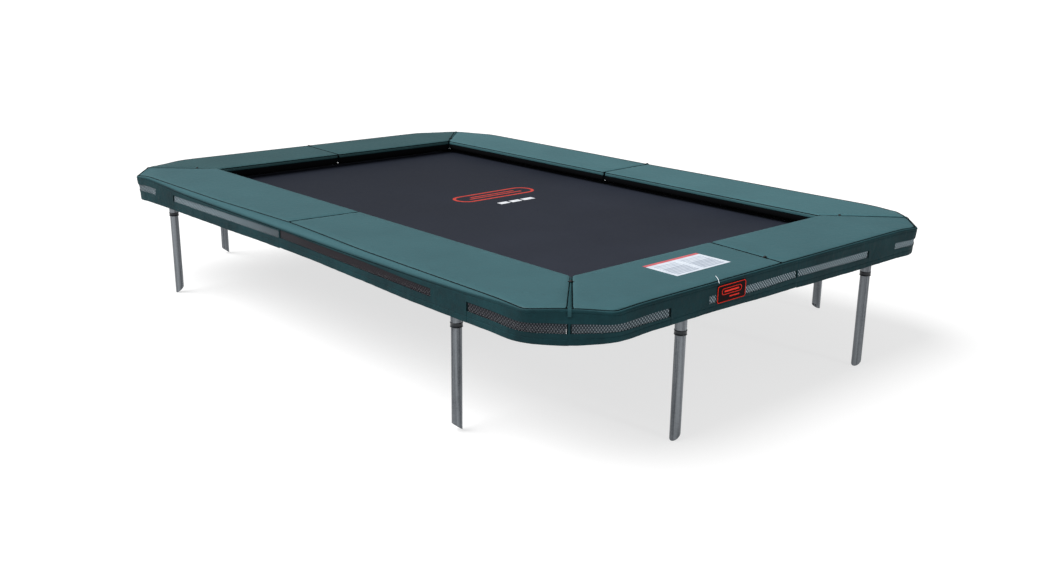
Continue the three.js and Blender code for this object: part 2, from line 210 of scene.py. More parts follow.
def rod(line, radius, sides=8, closed=False):
    """A round rod along a line of points, with domed ends if it is open."""
    line = np.asarray(line, float)
    count = len(line)
    tangent = unit(np.roll(line, -1, 0) - np.roll(line, 1, 0) if closed else np.gradient(line, axis=0))
    start = np.cross(tangent[0], [0, 0, 1.0])
    if np.linalg.norm(start) < 0.1:
        start = np.cross(tangent[0], [0, 1.0, 0])
    normal = [unit(start)]
    for t in tangent[1:]:
        normal.append(unit(normal[-1] - t * (normal[-1] @ t)))
    angle = turns(sides)[None, :, None]
    radii = np.broadcast_to(np.asarray(radius, float), count)
    ring = np.cos(angle) * np.array(normal)[:, None] + np.sin(angle) * np.cross(tangent, normal)[:, None]
    points = (line[:, None] + radii[:, None, None] * ring).reshape(-1, 3)
    quads = grid_quads(count, sides, closed, True)[:, ::-1]
    if closed:
        return points, (quads,)
    caps = [line[0] - tangent[0] * radii[0] * 0.5, line[-1] + tangent[-1] * radii[-1] * 0.5]
    j, tip = np.arange(sides), count * sides
    k, end = (j + 1) % sides, tip - sides
    return np.concatenate([points, caps]), (quads, xyz(tip, j, k), xyz(tip + 1, end + k, end + j))


def strip(line, across, width, thickness, up):
    """A flat band of the given width and thickness along a line of points."""
    across, lift = np.asarray(across) * width / 2, np.asarray(up) * thickness / 2
    sides = (-across - lift, across - lift, across + lift, lift - across)
    points = np.stack([line + side for side in sides], 1)
    last = (len(line) - 1) * 4
    ends = [[3, 2, 1, 0], [last, last + 1, last + 2, last + 3]]
    return points.reshape(-1, 3), (grid_quads(len(line), 4, wrap_columns=True), ends)


def shell(outer, inner, kept, carried=None):
    """A closed sheet from two grids of points; kept says which cells are fabric and which are open."""
    rows, columns = outer.shape[:2]
    size = rows * columns
    number = np.arange(size).reshape(rows, columns)
    a, b, c, d = number[:-1, :-1], number[:-1, 1:], number[1:, 1:], number[1:, :-1]
    faces = [xyz(a, b, c, d)[kept], xyz(d, c, b, a)[kept] + size]
    wide = np.zeros((rows + 1, columns + 1), bool)
    wide[1:-1, 1:-1] = kept
    for here, there, first, second in (
        (kept, wide[:-2, 1:-1], a, b),
        (kept, wide[2:, 1:-1], c, d),
        (kept, wide[1:-1, :-2], d, a),
        (kept, wide[1:-1, 2:], b, c),
    ):
        edge = here & ~there
        p, q = first[edge], second[edge]
        faces.append(xyz(q, p, p + size, q + size))
    faces = np.concatenate(faces)
    points = np.concatenate([outer.reshape(-1, 3), inner.reshape(-1, 3)])
    used, faces = np.unique(faces, return_inverse=True)
    made = points[used], (faces.reshape(-1, 4),)
    return made if carried is None else (*made, np.tile(carried.ravel(), 2)[used])


def smoothstep(x):
    x = np.clip(x, 0, 1)
    return x * x * (3 - 2 * x)


def rough(points, scale, seed):
    """Smooth noise from -1 to 1 at each point."""
    shift = Vector((seed * 7.31, seed * 3.17, seed * 5.71))
    return np.array([noise.noise(Vector(p) * scale + shift) for p in points])


# ---- materials ----


class Look:
    """A node material that is written as a few calls."""

    def __init__(self, name, roughness=0.5, metallic=0.0, specular=0.5):
        self.material = bpy.data.materials.new(name)
        self.material.use_nodes = True
        self.tree = self.material.node_tree
        self.surface = self.tree.nodes["Principled BSDF"].inputs
        self.surface["Roughness"].default_value = roughness
        self.surface["Metallic"].default_value = metallic
        self.surface["Specular IOR Level"].default_value = specular

    def node(self, kind, inputs, output=0, **settings):
        made = self.tree.nodes.new(kind)
        for key, value in settings.items():
            setattr(made, key, value)
        for key, value in inputs.items():
            if isinstance(value, bpy.types.NodeSocket):
                self.tree.links.new(value, made.inputs[key])
            else:
                made.inputs[key].default_value = value
        return made.outputs[output]

    def place(self, scale=(1, 1, 1)):
        where = self.node("ShaderNodeTexCoord", {}, "Object")
        return self.node("ShaderNodeMapping", {"Vector": where, "Scale": scale})

    def noise(self, scale, detail=4, stretch=(1, 1, 1)):
        inputs = {"Vector": self.place(stretch), "Scale": scale, "Detail": detail, "Roughness": 0.55}
        return self.node("ShaderNodeTexNoise", inputs)

    def wave(self, pitch, axis, distortion=0.0, scale=(1, 1, 1)):
        """Threads that repeat every pitch metres along an axis, from 0 to 1."""
        inputs = {"Vector": self.place(scale), "Scale": math.pi / 10 / pitch, "Distortion": distortion}
        return self.node("ShaderNodeTexWave", inputs, "Fac", bands_direction=axis)

    def math(self, operation, a, b, c=0.5):
        return self.node("ShaderNodeMath", {0: a, 1: b, 2: c}, operation=operation)

    def total(self, *pairs, start=0.0):
        """The sum of each value times its weight."""
        for value, weight in pairs:
            start = self.math("MULTIPLY_ADD", value, weight, start)
        return start

    def ramp(self, value, low=0.3, high=0.7):
        """Spreads a value so that low becomes 0 and high becomes 1."""
        return self.node("ShaderNodeMapRange", {"Value": value, "From Min": low, "From Max": high})

    def pale(self):
        """How far the surface takes its paler shade, as set_pale stored it: partly its own colour and partly
        painted light on the skirt, painted light on the net.
        """
        return self.node("ShaderNodeAttribute", {}, "Fac", attribute_name="pale")

    def mix(self, factor, a, b):
        return self.node("ShaderNodeMix", {0: factor, 6: a, 7: b}, 2, data_type="RGBA")

    def set(self, socket, value):
        self.tree.links.new(value, self.surface[socket])

    def bump(self, height, distance, strength):
        inputs = {"Height": height, "Distance": distance, "Strength": strength}
        for link in self.surface["Normal"].links:
            inputs["Normal"] = link.from_socket
        self.set("Normal", self.node("ShaderNodeBump", inputs))


def rgb(*display):
    """A colour given in 0-255 display values."""
    shares = [c / 255 for c in display]
    return tuple(c / 12.92 if c <= 0.04045 else ((c + 0.055) / 1.055) ** 2.4 for c in shares) + (1.0,)


def cloth_look(name, dark, light, roughness, pitch, grain, specular, pale=None):
    """Coated woven fabric: a fine thread grid, broad tone changes and a slightly uneven gloss."""
    look = Look(name, roughness, specular=specular)
    broad, fine = look.ramp(look.noise(3.1, 3)), look.ramp(look.noise(38, 5))
    colour = look.mix(look.total((broad, 0.65), (fine, 0.35)), dark, light)
    # The pale mix paints the skirt shoulder paler: partly the shoulder's own pad colour, partly painted
    # light.
    look.set("Base Color", look.mix(look.pale(), colour, pale) if pale else colour)
    look.set("Roughness", look.total((fine, 0.12), start=roughness - 0.06))
    threads = look.math("MULTIPLY", look.wave(pitch, "X"), look.wave(pitch, "Y"))
    threads = look.math("ADD", threads, look.wave(pitch, "Z"))
    look.bump(look.noise(9, 3), 2.2 * MM, 0.35)
    if pale:
        look.bump(look.noise(42, 4, (1, 1, 0.6)), 3.5 * MM, 0.8)
    look.bump(threads, grain, 0.5)
    return look.material


def tube_look(name, dark, light, roughness, streak, metallic=0.9):
    """Zinc-coated steel: crystal spangle, long drawing streaks and dull patches."""
    look = Look(name, roughness, metallic)
    cells = look.node("ShaderNodeTexVoronoi", {"Vector": look.place(), "Scale": 240}, "Color")
    spangle = look.node("ShaderNodeSeparateColor", {0: cells})
    lines, dull = look.ramp(look.noise(70, 4, streak)), look.ramp(look.noise(14, 5), 0.35)
    look.set("Base Color", look.mix(look.total((lines, 0.73), (spangle, 0.12), (dull, 0.15)), dark, light))
    look.set("Roughness", look.total((lines, 0.1), (dull, 0.2), start=roughness - 0.15))
    look.bump(spangle, 0.05 * MM, 0.4)
    look.bump(lines, 0.12 * MM, 0.4)
    return look.material


def webbing_look(name, dark, light, pitch):
    """Woven tape with ribs across it."""
    look = Look(name, 0.8, specular=0.3)
    ribs = look.math("MULTIPLY", look.wave(pitch, "X", 0.6), look.wave(pitch, "Y", 0.6))
    look.set("Base Color", look.mix(look.total((ribs, 0.5), (look.noise(60), 0.5)), dark, light))
    look.bump(ribs, 0.5 * MM, 0.7)
    return look.material


def plain_look(name, dark, light, roughness, scale, depth, specular=0.4):
    """One material with slight mottling and a fine grain."""
    look = Look(name, roughness, specular=specular)
    mottle = look.ramp(look.noise(scale, 5))
    look.set("Base Color", look.mix(mottle, dark, light))
    look.set("Roughness", look.total((mottle, 0.15), start=roughness - 0.07))
    look.bump(look.noise(scale * 12, 3), depth * MM, 0.4)
    return look.material


def mat_look():
    """Black polypropylene weave: flat threads over and under each other, with a painted sheen that lightens
    it towards +X.
    """
    look = Look("mat_weave", 0.62, specular=0.15)
    warp, weft = look.wave(2.4 * MM, "X"), look.wave(2.4 * MM, "Y")
    under = look.math("MULTIPLY", look.math("SUBTRACT", 1.0, warp), look.math("SUBTRACT", 1.0, weft))
    weave = look.math("ADD", look.math("MULTIPLY", warp, weft), under)
    broad = look.ramp(look.noise(1.3, 4))
    x = look.node("ShaderNodeSeparateXYZ", {0: look.place()})
    # Painted sheen: the base colour lightens from -X to +X, standing in for light reflected off the mat's
    # right side.
    painted_sheen = look.mix(look.ramp(x, -1.4, 1.4), rgb(27, 32, 43), rgb(45, 49, 60))
    look.set("Base Color", look.mix(look.total((broad, 0.4), (weave, 0.6)), rgb(22, 26, 36), painted_sheen))
    look.set("Roughness", look.total((broad, 0.12), start=0.55))
    look.bump(weave, 0.35 * MM, 0.6)
    return look.material


def vent_look():
    """Knitted net: crossing diagonal threads, painted paler where light would come through and near-black
    where shade lies behind it.
    """
    look = Look("vent_mesh", 0.7, specular=0.15)
    pitch = 16 * MM / 2
    knots = look.math("MULTIPLY", *(look.wave(pitch, "DIAGONAL", scale=(1, 1, z)) for z in (1, -1)))
    # Painted light and painted shade: the pale pair stands for light seen through the net, the dark pair for
    # shade behind it.
    pale = look.mix(knots, rgb(46, 64, 72), rgb(180, 198, 206))
    dark = look.mix(knots, rgb(6, 7, 9), rgb(58, 50, 58))
    look.set("Base Color", look.mix(look.pale(), dark, pale))
    look.bump(knots, 0.3 * MM, 0.6)
    return look.material


PAD_COVER = cloth_look("pad_cover", rgb(51, 86, 92), rgb(57, 94, 100), 0.5, 1.1 * MM, 0.05 * MM, 0.2)
# Lit and shaded copies of the pad cover: the left-end pads are painted darker as painted shade, and the back
# pads painted lighter as painted light.
PAD_SHADED_LEFT = cloth_look("pad_cover_left_painted_shade", rgb(40, 72, 76), rgb(46, 80, 84), 0.5, 1.1 * MM, 0.05 * MM, 0.2)
PAD_LIT_BACK = cloth_look("pad_cover_back_painted_light", rgb(56, 93, 99), rgb(63, 102, 108), 0.5, 1.1 * MM, 0.05 * MM, 0.2)
# Near-black underside: partly the cover's own black underside and partly painted shade, as it also makes the
# flap that droops at the pads' inner edge to darken the gap below them.
PAD_UNDER = cloth_look("pad_underside", rgb(4, 5, 6), rgb(8, 9, 12), 0.8, 1.1 * MM, 0.05 * MM, 0.05)
# The third colour is the shoulder's paler shade: partly its own pad colour, partly painted light.
SKIRT_FABRIC = cloth_look(
    "skirt_fabric", rgb(6, 32, 37), rgb(19, 55, 60), 0.7, 1.4 * MM, 0.08 * MM, 0.12, rgb(53, 88, 94)
)
GUSSET_FABRIC = cloth_look("gusset_fabric", rgb(30, 62, 67), rgb(38, 72, 77), 0.7, 1.4 * MM, 0.05 * MM, 0.12)
# Painted shade: near-black teal for the pads' groove bands and end faces, the mid-side gap strips, the
# skirt's seam tapes and the edge piping, standing in for shade in grooves and gaps.
SEAM_SHADE = cloth_look("seam_painted_shade", rgb(4, 17, 20), rgb(7, 24, 27), 0.75, 0.9 * MM, 0.05 * MM, 0.08)
VENT_MESH = vent_look()
MAT_WEAVE = mat_look()
WEBBING = webbing_look("hem_webbing", rgb(24, 27, 36), rgb(38, 41, 50), 1.8 * MM)
GALVANISED = tube_look("galvanised_tube", rgb(42, 45, 50), rgb(142, 147, 152), 0.36, (1, 1, 0.02))
GALVANISED_RAIL = tube_look("galvanised_rail", rgb(86, 90, 95), rgb(140, 144, 149), 0.42, (0.2, 0.2, 1))
COLLAR_STEEL = tube_look("collar_steel", rgb(10, 14, 18), rgb(24, 30, 37), 0.3, (1, 1, 0.2), 0.3)
SPRING_STEEL = tube_look("spring_steel", rgb(150, 152, 154), rgb(196, 198, 200), 0.35, (1, 1, 1), 1.0)
BOLT_ZINC = tube_look("bolt_zinc", rgb(150, 150, 146), rgb(200, 200, 196), 0.35, (1, 1, 1), 1.0)
ELASTIC = plain_look("black_elastic", rgb(14, 14, 16), rgb(28, 28, 31), 0.7, 300, 0.1)
WHITE_TIE = plain_look("white_tie", rgb(214, 222, 228), rgb(236, 240, 243), 0.45, 200, 0.05)
LABEL_VINYL = plain_look("label_vinyl", rgb(196, 205, 217), rgb(213, 220, 228), 0.42, 25, 0.04)
LABEL_STRIPE = plain_look("label_stripe", rgb(186, 84, 92), rgb(204, 100, 106), 0.42, 25, 0.04)
LABEL_BARS = plain_look("label_bars", rgb(150, 160, 174), rgb(168, 176, 188), 0.42, 25, 0.04)
BADGE_RUBBER = plain_look("badge_rubber", rgb(12, 2, 4), rgb(24, 5, 8), 0.75, 60, 0.15, 0.1)
BADGE_RED = plain_look("badge_red", rgb(214, 36, 20), rgb(240, 50, 28), 0.6, 60, 0.08, 0.15)
PRINT_RED = plain_look("mat_print_red", rgb(168, 44, 36), rgb(196, 60, 46), 0.6, 40, 0.1)
PRINT_WHITE = plain_look("mat_print_white", rgb(196, 200, 206), rgb(226, 228, 232), 0.6, 40, 0.1)

# ---- places along the frame ----

CHAMFER_START = {"long": OUTER["x"] - CHAMFER, "end": OUTER["y"] - CHAMFER}
EDGE_LENGTH = {side: CHAMFER_START[side] + CHAMFER * DIAGONAL for side in SIDES}


def edge_point(side, s, inset=0.0, rounding=16 * MM):
    """The point at distance s from mid-side along the pads' outer edge, moved in by inset."""
    s, inset, rounding = np.asarray(s, float), np.asarray(inset, float), np.asarray(rounding, float)
    start = CHAMFER_START[side] - inset * math.tan(math.pi / 8)
    level = (OUTER["y"] if side == "long" else OUTER["x"]) - inset
    total = 0
    for shift in np.linspace(-1, 1, 15):
        t = s + shift * rounding
        past = np.maximum(0, t - start)
        along, across = np.minimum(t, start) + past * DIAGONAL, level - past * DIAGONAL
        total = total + (xyz(along, across) if side == "long" else xyz(across, along))
    return total / 15


def edge_length(side, inset):
    """Distance along the pads' outer edge from mid-side to the mitre, at an inset."""
    return EDGE_LENGTH[side] - 2 * inset * math.tan(math.pi / 8)


# How each panel hangs, one row for each distance from mid-side (m). hem, low and high lift the hem
# and the windows' lower and upper edges (mm), and lip, wide and deep shape the shoulder below the crease
# (mm).
# light says how far the shoulder takes its paler pad colour, partly its own colour and partly painted
# light, strong where light falls and weak on shaded sides. net says how far the net takes its paler
# shade, which is painted light seen through it.
HANG_COLUMNS = ("at", "hem", "low", "high", "lip", "wide", "deep", "light", "net")
HANG = {
    ("front_left", "long"): [
        (0, 13, 18, 14, 7, 46, 28, 1, 0.3),
        (0.3, 10, 14, 12, 7, 34, 28, 1, 0.6),
        (0.7, 4, 9, 6, 6, 15, 28, 1, 0.8),
        (1.1, 0, 6, 0, 5, 12, 26, 1, 0.8),
        (1.3, -2, 2, 0, 3, 11, 20, 0.8, 0.7),
        (1.84, -10, 0, 2, 1, 9, 12, 0.3, 0.4),
    ],
    ("front_right", "long"): [
        (0, 16, 20, 20, 7, 46, 28, 1, 0.05),
        (0.3, 14, 16, 15, 7, 34, 28, 1, 0),
        (0.6, 8, 12, 14, 6, 18, 28, 1, 0),
        (1.0, 0, 8, 2, 4, 13, 26, 1, 0),
        (1.4, 0, 2, 0, 2, 11, 20, 0.8, 0.05),
        (1.68, 0, 0, 0, 1, 8, 10, 0.15, 0.1),
        (1.84, 0, 0, 0, 1, 8, 10, 0, 0.2),
    ],
    ("front_right", "end"): [
        (0, 13, 13, 5, 2, 9, 10, 0.3, 0.9),
        (0.2, 13, 7, 3, 2, 9, 10, 0.3, 0.9),
        (0.45, 18, 10, 2, 2, 9, 10, 0.3, 0.85),
        (0.8, 17, 7, 3, 2, 9, 10, 0.3, 0.6),
        (1.0, 14, 10, 2, 2, 9, 10, 0.3, 0.5),
        (1.15, 3, 3, 0, 2, 9, 10, 0.3, 0.35),
        (1.22, 0, 0, 0, 2, 9, 10, 0, 0.25),
    ],
    ("back_right", "end"): [
        (0, 13, 16, 6, 2, 9, 10, 0.3, 0.9),
        (0.1, 9, 12, 3, 2, 9, 10, 0.3, 0.9),
        (0.5, 3, 6, 0, 2, 9, 10, 0.3, 1),
        (0.65, 3, 6, -2, 2, 9, 10, 0.3, 1),
        (0.9, 3, 3, -5, 2, 9, 10, 0.3, 1),
        (1.22, 1, 3, -4, 2, 9, 10, 0.3, 1),
    ],
    "long": [
        (0, 10, 18, 10, 6, 24, 26, 1, 0.4),
        (0.5, 6, 14, 8, 6, 15, 26, 1, 0.5),
        (1.1, 1, 9, 0, 4, 12, 24, 0.9, 0.6),
        (1.5, 0, 3, 0, 2, 10, 14, 0.5, 0.5),
        (1.84, 0, 2, 0, 1, 9, 11, 0.1, 0.4),
    ],
    "end": [
        (0, 10, 14, 6, 3, 12, 16, 0.6, 0.5),
        (0.4, 8, 9, 3, 3, 10, 14, 0.6, 0.6),
        (0.8, -2, 5, 0, 2, 9, 12, 0.4, 0.6),
        (1.22, -8, 0, 0, 1, 9, 11, 0.1, 0.6),
    ],
}


def hang(key, what, s):
    """One of a panel's hang values at distance s, softened between its points."""
    table = np.array(HANG.get(key) or HANG[key[1]]).T
    values = table[HANG_COLUMNS.index(what)]
    return sum(np.interp(np.asarray(s, float) + d, table[0], values) for d in np.linspace(-0.08, 0.08, 9)) / 9


SAG = {"front_left": 15 * MM, "front_right": 5 * MM, "back_right": 9 * MM, "back_left": 9 * MM}
SAG_REACH = 100 * MM


def sag(corner, flat):
    """How far the cover droops where it reaches past the frame's bend."""
    total = 0
    for x, y in ((OUTER["x"] - CHAMFER, OUTER["y"]), (OUTER["x"], OUTER["y"] - CHAMFER)):
        total = total + np.exp(-((flat[..., 0] - x) ** 2 + (flat[..., 1] - y) ** 2) / SAG_REACH**2)
    return SAG[corner] * total


def leg_place(side):
    """Where a leg stands in the +X +Y quarter."""
    u = STRAIGHT[side] - LEG_INSIDE_BEND[side]
    return (u, HALF_WIDTH) if side == "long" else (HALF_LENGTH, u)


# ---- frame ----

SOCKET_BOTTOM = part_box("corner_frame_front_right")[0].z
COLLAR_TOP = SOCKET_BOTTOM + 20 * MM
COLLAR_RADIUS = 25.6 * MM
SOCKET_BORE = 22.65 * MM
SOCKET_BORE_TOP = 541 * MM
ARM = 396 * MM
LEG_RADIUS = 22.25 * MM
LEG_BORE = 20.25 * MM
LEG_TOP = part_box("leg_front_right_long")[1].z
BOLT_Z = 512 * MM
FOOT_SLOPE = math.tan(math.radians(40))
SPIGOT = 22.2 * MM


def bent_tube():
    """The corner's bent tube with its wall and open ends."""
    turn = np.linspace(0, math.pi / 2, 29)
    bend = xyz(STRAIGHT["long"] + BEND * np.sin(turn), STRAIGHT["end"] + BEND * np.cos(turn), TUBE_Z)
    ends = [[STRAIGHT["long"] - ARM, HALF_WIDTH, TUBE_Z], [HALF_LENGTH, STRAIGHT["end"] - ARM, TUBE_Z]]
    line = np.concatenate([ends[:1], bend, ends[1:]])
    sides = 40
    points = np.concatenate([rod(line, r, sides)[0][:-2] for r in (TUBE_RADIUS, TUBE_RADIUS - 1.5 * MM)])
    quads = grid_quads(len(line), sides, wrap_columns=True)[:, ::-1]
    j, size = np.arange(sides), len(line) * sides
    k, end = (j + 1) % sides, size - sides
    rims = (xyz(j + size, k + size, k, j), xyz(end + k + size, end + j + size, end + j, end + k))
    return points, (np.concatenate([quads, quads[:, ::-1] + size]), *rims)


def saddle(angle, tube_along_x):
    """Heights of a ring that meets the frame tube from below."""
    offset = np.sin(angle) if tube_along_x else np.cos(angle)
    return TUBE_Z - np.sqrt(np.maximum(0, 1 - offset**2)) * TUBE_RADIUS


def socket(x, y, tube_along_x):
    """A leg socket with its collar seat; its top follows the tube it is welded to."""
    sides = 48
    rows = [
        (SOCKET_BORE, SOCKET_BORE_TOP),
        (SOCKET_BORE, SOCKET_BOTTOM + 1 * MM),
        (SOCKET_BORE + 0.4 * MM, SOCKET_BOTTOM),
        (TUBE_RADIUS - 0.4 * MM, SOCKET_BOTTOM),
        (TUBE_RADIUS, SOCKET_BOTTOM + 0.6 * MM),
        (TUBE_RADIUS, COLLAR_TOP + 20 * MM),
        (TUBE_RADIUS, saddle(turns(sides), tube_along_x) + 0.6 * MM),
    ]
    centre = [[x, y, TUBE_Z - TUBE_RADIUS + 1 * MM], [x, y, SOCKET_BORE_TOP]]
    j, size = np.arange(sides), len(rows) * sides
    k, top = (j + 1) % sides, size - sides
    quads = grid_quads(len(rows), sides, wrap_columns=True)
    fans = (xyz(top + j, top + k, size), xyz(k, j, size + 1))
    return np.concatenate([turned(rows, sides, x, y), centre]), (quads, *fans)


def weld(x, y, tube_along_x):
    """The uneven bead where the socket meets the tube."""
    angle = turns(96)
    line = turned([(TUBE_RADIUS + 0.9 * MM, saddle(angle, tube_along_x) - 0.6 * MM)], 96, x, y)
    return rod(line, (2.6 + 0.35 * np.sin(angle * 24)) * MM, 8, closed=True)


def collar(x, y):
    """The clamp ring round the mouth of a socket, with a rolled rim above and below."""
    low, high, inner = SOCKET_BOTTOM - 0.4 * MM, COLLAR_TOP, TUBE_RADIUS - 0.3 * MM
    rim, waist = COLLAR_RADIUS + 0.5 * MM, COLLAR_RADIUS - 0.5 * MM
    half = [(inner, 0), (rim - 1 * MM, 0), (rim, 1 * MM), (rim, 2.6 * MM), (waist, 4 * MM)]
    return lathe([(r, low + z) for r, z in half] + [(r, high - z) for r, z in half[::-1]], 48, x, y)


def leg_tube(x, y, tip):
    """A leg tube with its foot cut off at an angle; the point is towards tip, along Y."""
    rows = []
    for radius, z, lip in (
        (LEG_BORE, LEG_TOP, 0), (LEG_BORE, 300 * MM, 0), (LEG_BORE, None, 0.5),
        (LEG_BORE + 0.5 * MM, None, 0), (LEG_RADIUS - 0.5 * MM, None, 0), (LEG_RADIUS, None, 0.5),
        (LEG_RADIUS, 120 * MM, 0), (LEG_RADIUS, 300 * MM, 0), (LEG_RADIUS, LEG_TOP, 0),
    ):
        cut = FOOT_SLOPE * (LEG_RADIUS - tip * radius * np.sin(turns(48))) + lip * MM
        rows.append((radius, cut if z is None else z))
    return lathe(rows, 48, x, y)


def hexagon_head(radius, height):
    """A chamfered hexagon with a small washer face."""
    flat = np.where(np.arange(12) % 2 == 0, 1.0, math.cos(math.pi / 6))
    rows = [(0.15, 0.0), (0.95, 0.0), (1.0, 0.12), (1.0, 0.8), (0.86, 1.0), (0.15, 1.0)]
    return lathe([(radius * r * (flat if r > 0.9 else 0.97), z * height) for r, z in rows], 12)


def tipped(points, along_x):
    """Points about the Z axis, laid down along X or Y."""
    return points[:, [2, 0, 1] if along_x else [1, 2, 0]]


def leg_bolt(x, y, side):
    """Cross bolt with a hexagon head, washers and a lock nut."""
    shape = Shape()
    reach = TUBE_RADIUS + 0.3 * MM
    washer = lathe([(3.9 * MM, 0), (8.4 * MM, 0), (8.4 * MM, 1 * MM), (3.9 * MM, 1 * MM)], 24)
    parts = [(rod([[0, 0, -reach - 7 * MM], [0, 0, 0], [0, 0, reach]], 3.9 * MM, 16), 0, 1)]
    for height, sign in ((4.6, 1), (5.6, -1)):
        parts += [(hexagon_head(7.4 * MM, height * MM), reach + 1 * MM, sign), (washer, reach, sign)]
    for (points, faces), lift, sign in parts:
        points = tipped((points + [0, 0, lift]) * [1, sign, sign], side == "long")
        shape.add(points + [x, y, BOLT_Z], faces)
    return shape


for corner, signs in CORNERS.items():
    body, collars = Shape().add(*mirror(*bent_tube(), signs)), Shape()
    for side in SIDES:
        x, y = leg_place(side)
        for part in (socket, weld):
            body.add(*mirror(*part(x, y, side == "long"), signs))
        collars.add(*mirror(*collar(x, y), signs))
        x, y = x * signs[0], y * signs[1]
        leg = leg_tube(x, y, signs[0] if side == "long" else -signs[0])
        leg = build(f"ground_leg_{corner}_{side}", leg, GALVANISED, 40)
        place(leg, f"leg_{corner}_{side}")
        bolt = build(f"cross_bolt_{corner}_{side}", leg_bolt(x, y, side), BOLT_ZINC, 35)
        place(bolt, f"leg_bolt_{corner}_{side}")
    body = build(f"corner_tube_{corner}", body, GALVANISED, 40)
    place(body, f"corner_frame_{corner}")
    place(build(f"socket_collars_{corner}", collars, COLLAR_STEEL, 50))

for name, (sx, sy) in RAILS.items():
    half = STRAIGHT["long" if sy else "end"] - ARM - 0.3 * MM
    profile = [(SPIGOT - 2 * MM, 120), (SPIGOT, 120), (SPIGOT, 0.5), (TUBE_RADIUS, 0)]
    profile = [(radius, half + reach * MM) for radius, reach in profile]
    points, faces = lathe([(radius, -z) for radius, z in profile] + profile[::-1], 40)
    points = tipped(points, sy) + [sx * HALF_LENGTH, sy * HALF_WIDTH, TUBE_Z]
    rail = build(f"straight_tube_{name}", (points, faces), GALVANISED_RAIL, 40)
    place(rail, f"rail_{name}")

# ---- springs, rings and mat ----

SPRING_OUTER = 20 * MM  # inset of the hook inside the tube wall
SPRING_INNER = 279 * MM
RING_APEX = 273 * MM
SPRING_END_Z = (MAT_BOTTOM + MAT_TOP) / 2
COIL_RADIUS = 8 * MM
WIRE = 1.35 * MM


def spring_shape():
    """A close-wound spring along +X, hooked at both ends, from the frame end at the origin."""
    length = math.hypot(SPRING_INNER - SPRING_OUTER, TUBE_Z - SPRING_END_Z)
    windings = 34
    coil_from, coil_to = 34 * MM, length - 30 * MM
    t = np.linspace(0, 1, windings * 9 + 1)
    radius = COIL_RADIUS * smoothstep(np.minimum(1, np.minimum(t, 1 - t) * windings / 0.75))
    angle = 2 * math.pi * windings * t
    coil = xyz(coil_from + t * (coil_to - coil_from), radius * np.sin(angle), radius * np.cos(angle))
    first = np.array([[-1, 0, -9], [-3, 0, -6], [-2, 0, -2], [1.5, 0, 0], [10, 0, 0], [22, 0, 0]]) * MM
    hook = np.linspace(math.pi / 2, -math.pi * 0.75, 9)
    last = xyz(4 * np.cos(hook), 0, 4 * np.sin(hook) - 4) * MM + [length - 4 * MM, 0, 0]
    shank = [[length - 18 * MM, 0, 0], [length - 10 * MM, 0, 0]]
    return rod(np.concatenate([first, coil, shank, last]), WIRE, 6)


def v_ring():
    """A triangular wire ring in the mat's plane; the mat is towards +X and the apex at the origin."""
    corners = np.array([(2, 0), (23, -21), (23, 21)], float)
    t = np.linspace(0, 1, 5)[:, None]
    line = []
    for a, b, c in zip(np.roll(corners, 1, 0), corners, np.roll(corners, -1, 0), strict=True):
        first, last = b + unit(a - b) * 4.5, b + unit(c - b) * 4.5
        line.append((1 - t) ** 2 * first + 2 * t * (1 - t) * b + t * t * last)
    return rod(raised(np.concatenate(line) * MM, 0), 1.9 * MM, 8, closed=True)


def ring_tab():
    """The webbing loop that holds a ring: under the mat, round the bar and back over the hem."""
    x = np.array((60, 44, 30, 24, 21, 19.4, 19.2, 20, 22.5, 26, 34, 46, 60))
    z = (-2.9, -2.9, -2.9, -2.9, -2.5, -1.2, 0.6, 3.0, 5.0, 5.9, 6.0, 6.0, 6.0)
    line = xyz(x, 0, z) * MM
    up = np.cross(unit(np.gradient(line, axis=0)), [0, 1.0, 0])
    return strip(line, (0, 1, 0), 34 * MM, 1.1 * MM, up)


def laid_along(part, origin, direction):
    """A part built along +X, turned to a level or sloping direction and moved to an origin."""
    x = unit(np.asarray(direction, float))
    y = unit(np.cross([0, 0, 1.0], x))
    return part[0] @ np.stack([x, y, np.cross(x, y)]) + origin, part[1]


def anchors():
    """For each bank of springs: its name and the frame place and inward direction of each spring."""
    for name, (sx, sy) in RAILS.items():
        count = 26 if sy else 15
        along = (np.arange(count) - (count - 1) / 2) * SPRING_PITCH
        yield name, [((a, sy * HALF_WIDTH) if sy else (sx * HALF_LENGTH, a), (-sx, -sy)) for a in along]
    for corner, (sx, sy) in CORNERS.items():
        places = []
        for angle in np.arange(1, 5) * math.pi / 10:
            out = (sx * math.sin(angle), sy * math.cos(angle))
            spot = (sx * STRAIGHT["long"] + BEND * out[0], sy * STRAIGHT["end"] + BEND * out[1])
            places.append((spot, (-out[0], -out[1])))
        yield f"corner_{corner}", places


rings, tabs = Shape(), Shape()
SPRING, RING, TAB = spring_shape(), v_ring(), ring_tab()
for bank, places in anchors():
    groups = {f"coil_springs_{bank}": places}
    if bank.startswith("corner"):
        groups = {f"coil_spring_{bank}_{i + 1}": [spot] for i, spot in enumerate(places)}
    for name, members in groups.items():
        shape = Shape()
        for spot, inward in members:
            inward = np.array([*inward, 0.0])
            start = np.array([*spot, TUBE_Z]) + inward * SPRING_OUTER
            end = np.array([*spot, SPRING_END_Z]) + inward * SPRING_INNER
            shape.add(*laid_along(SPRING, start, end - start))
            apex = np.array([*spot, SPRING_END_Z]) + inward * RING_APEX
            rings.add(*laid_along(RING, apex, inward))
            tabs.add(*laid_along(TAB, apex, inward))
        piece = build(name, shape, SPRING_STEEL)
        if members[0] is places[0]:
            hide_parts(f"springs_{bank}")
        spot, inward = (np.array([*v, 0.0]) for v in members[0])
        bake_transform(piece)
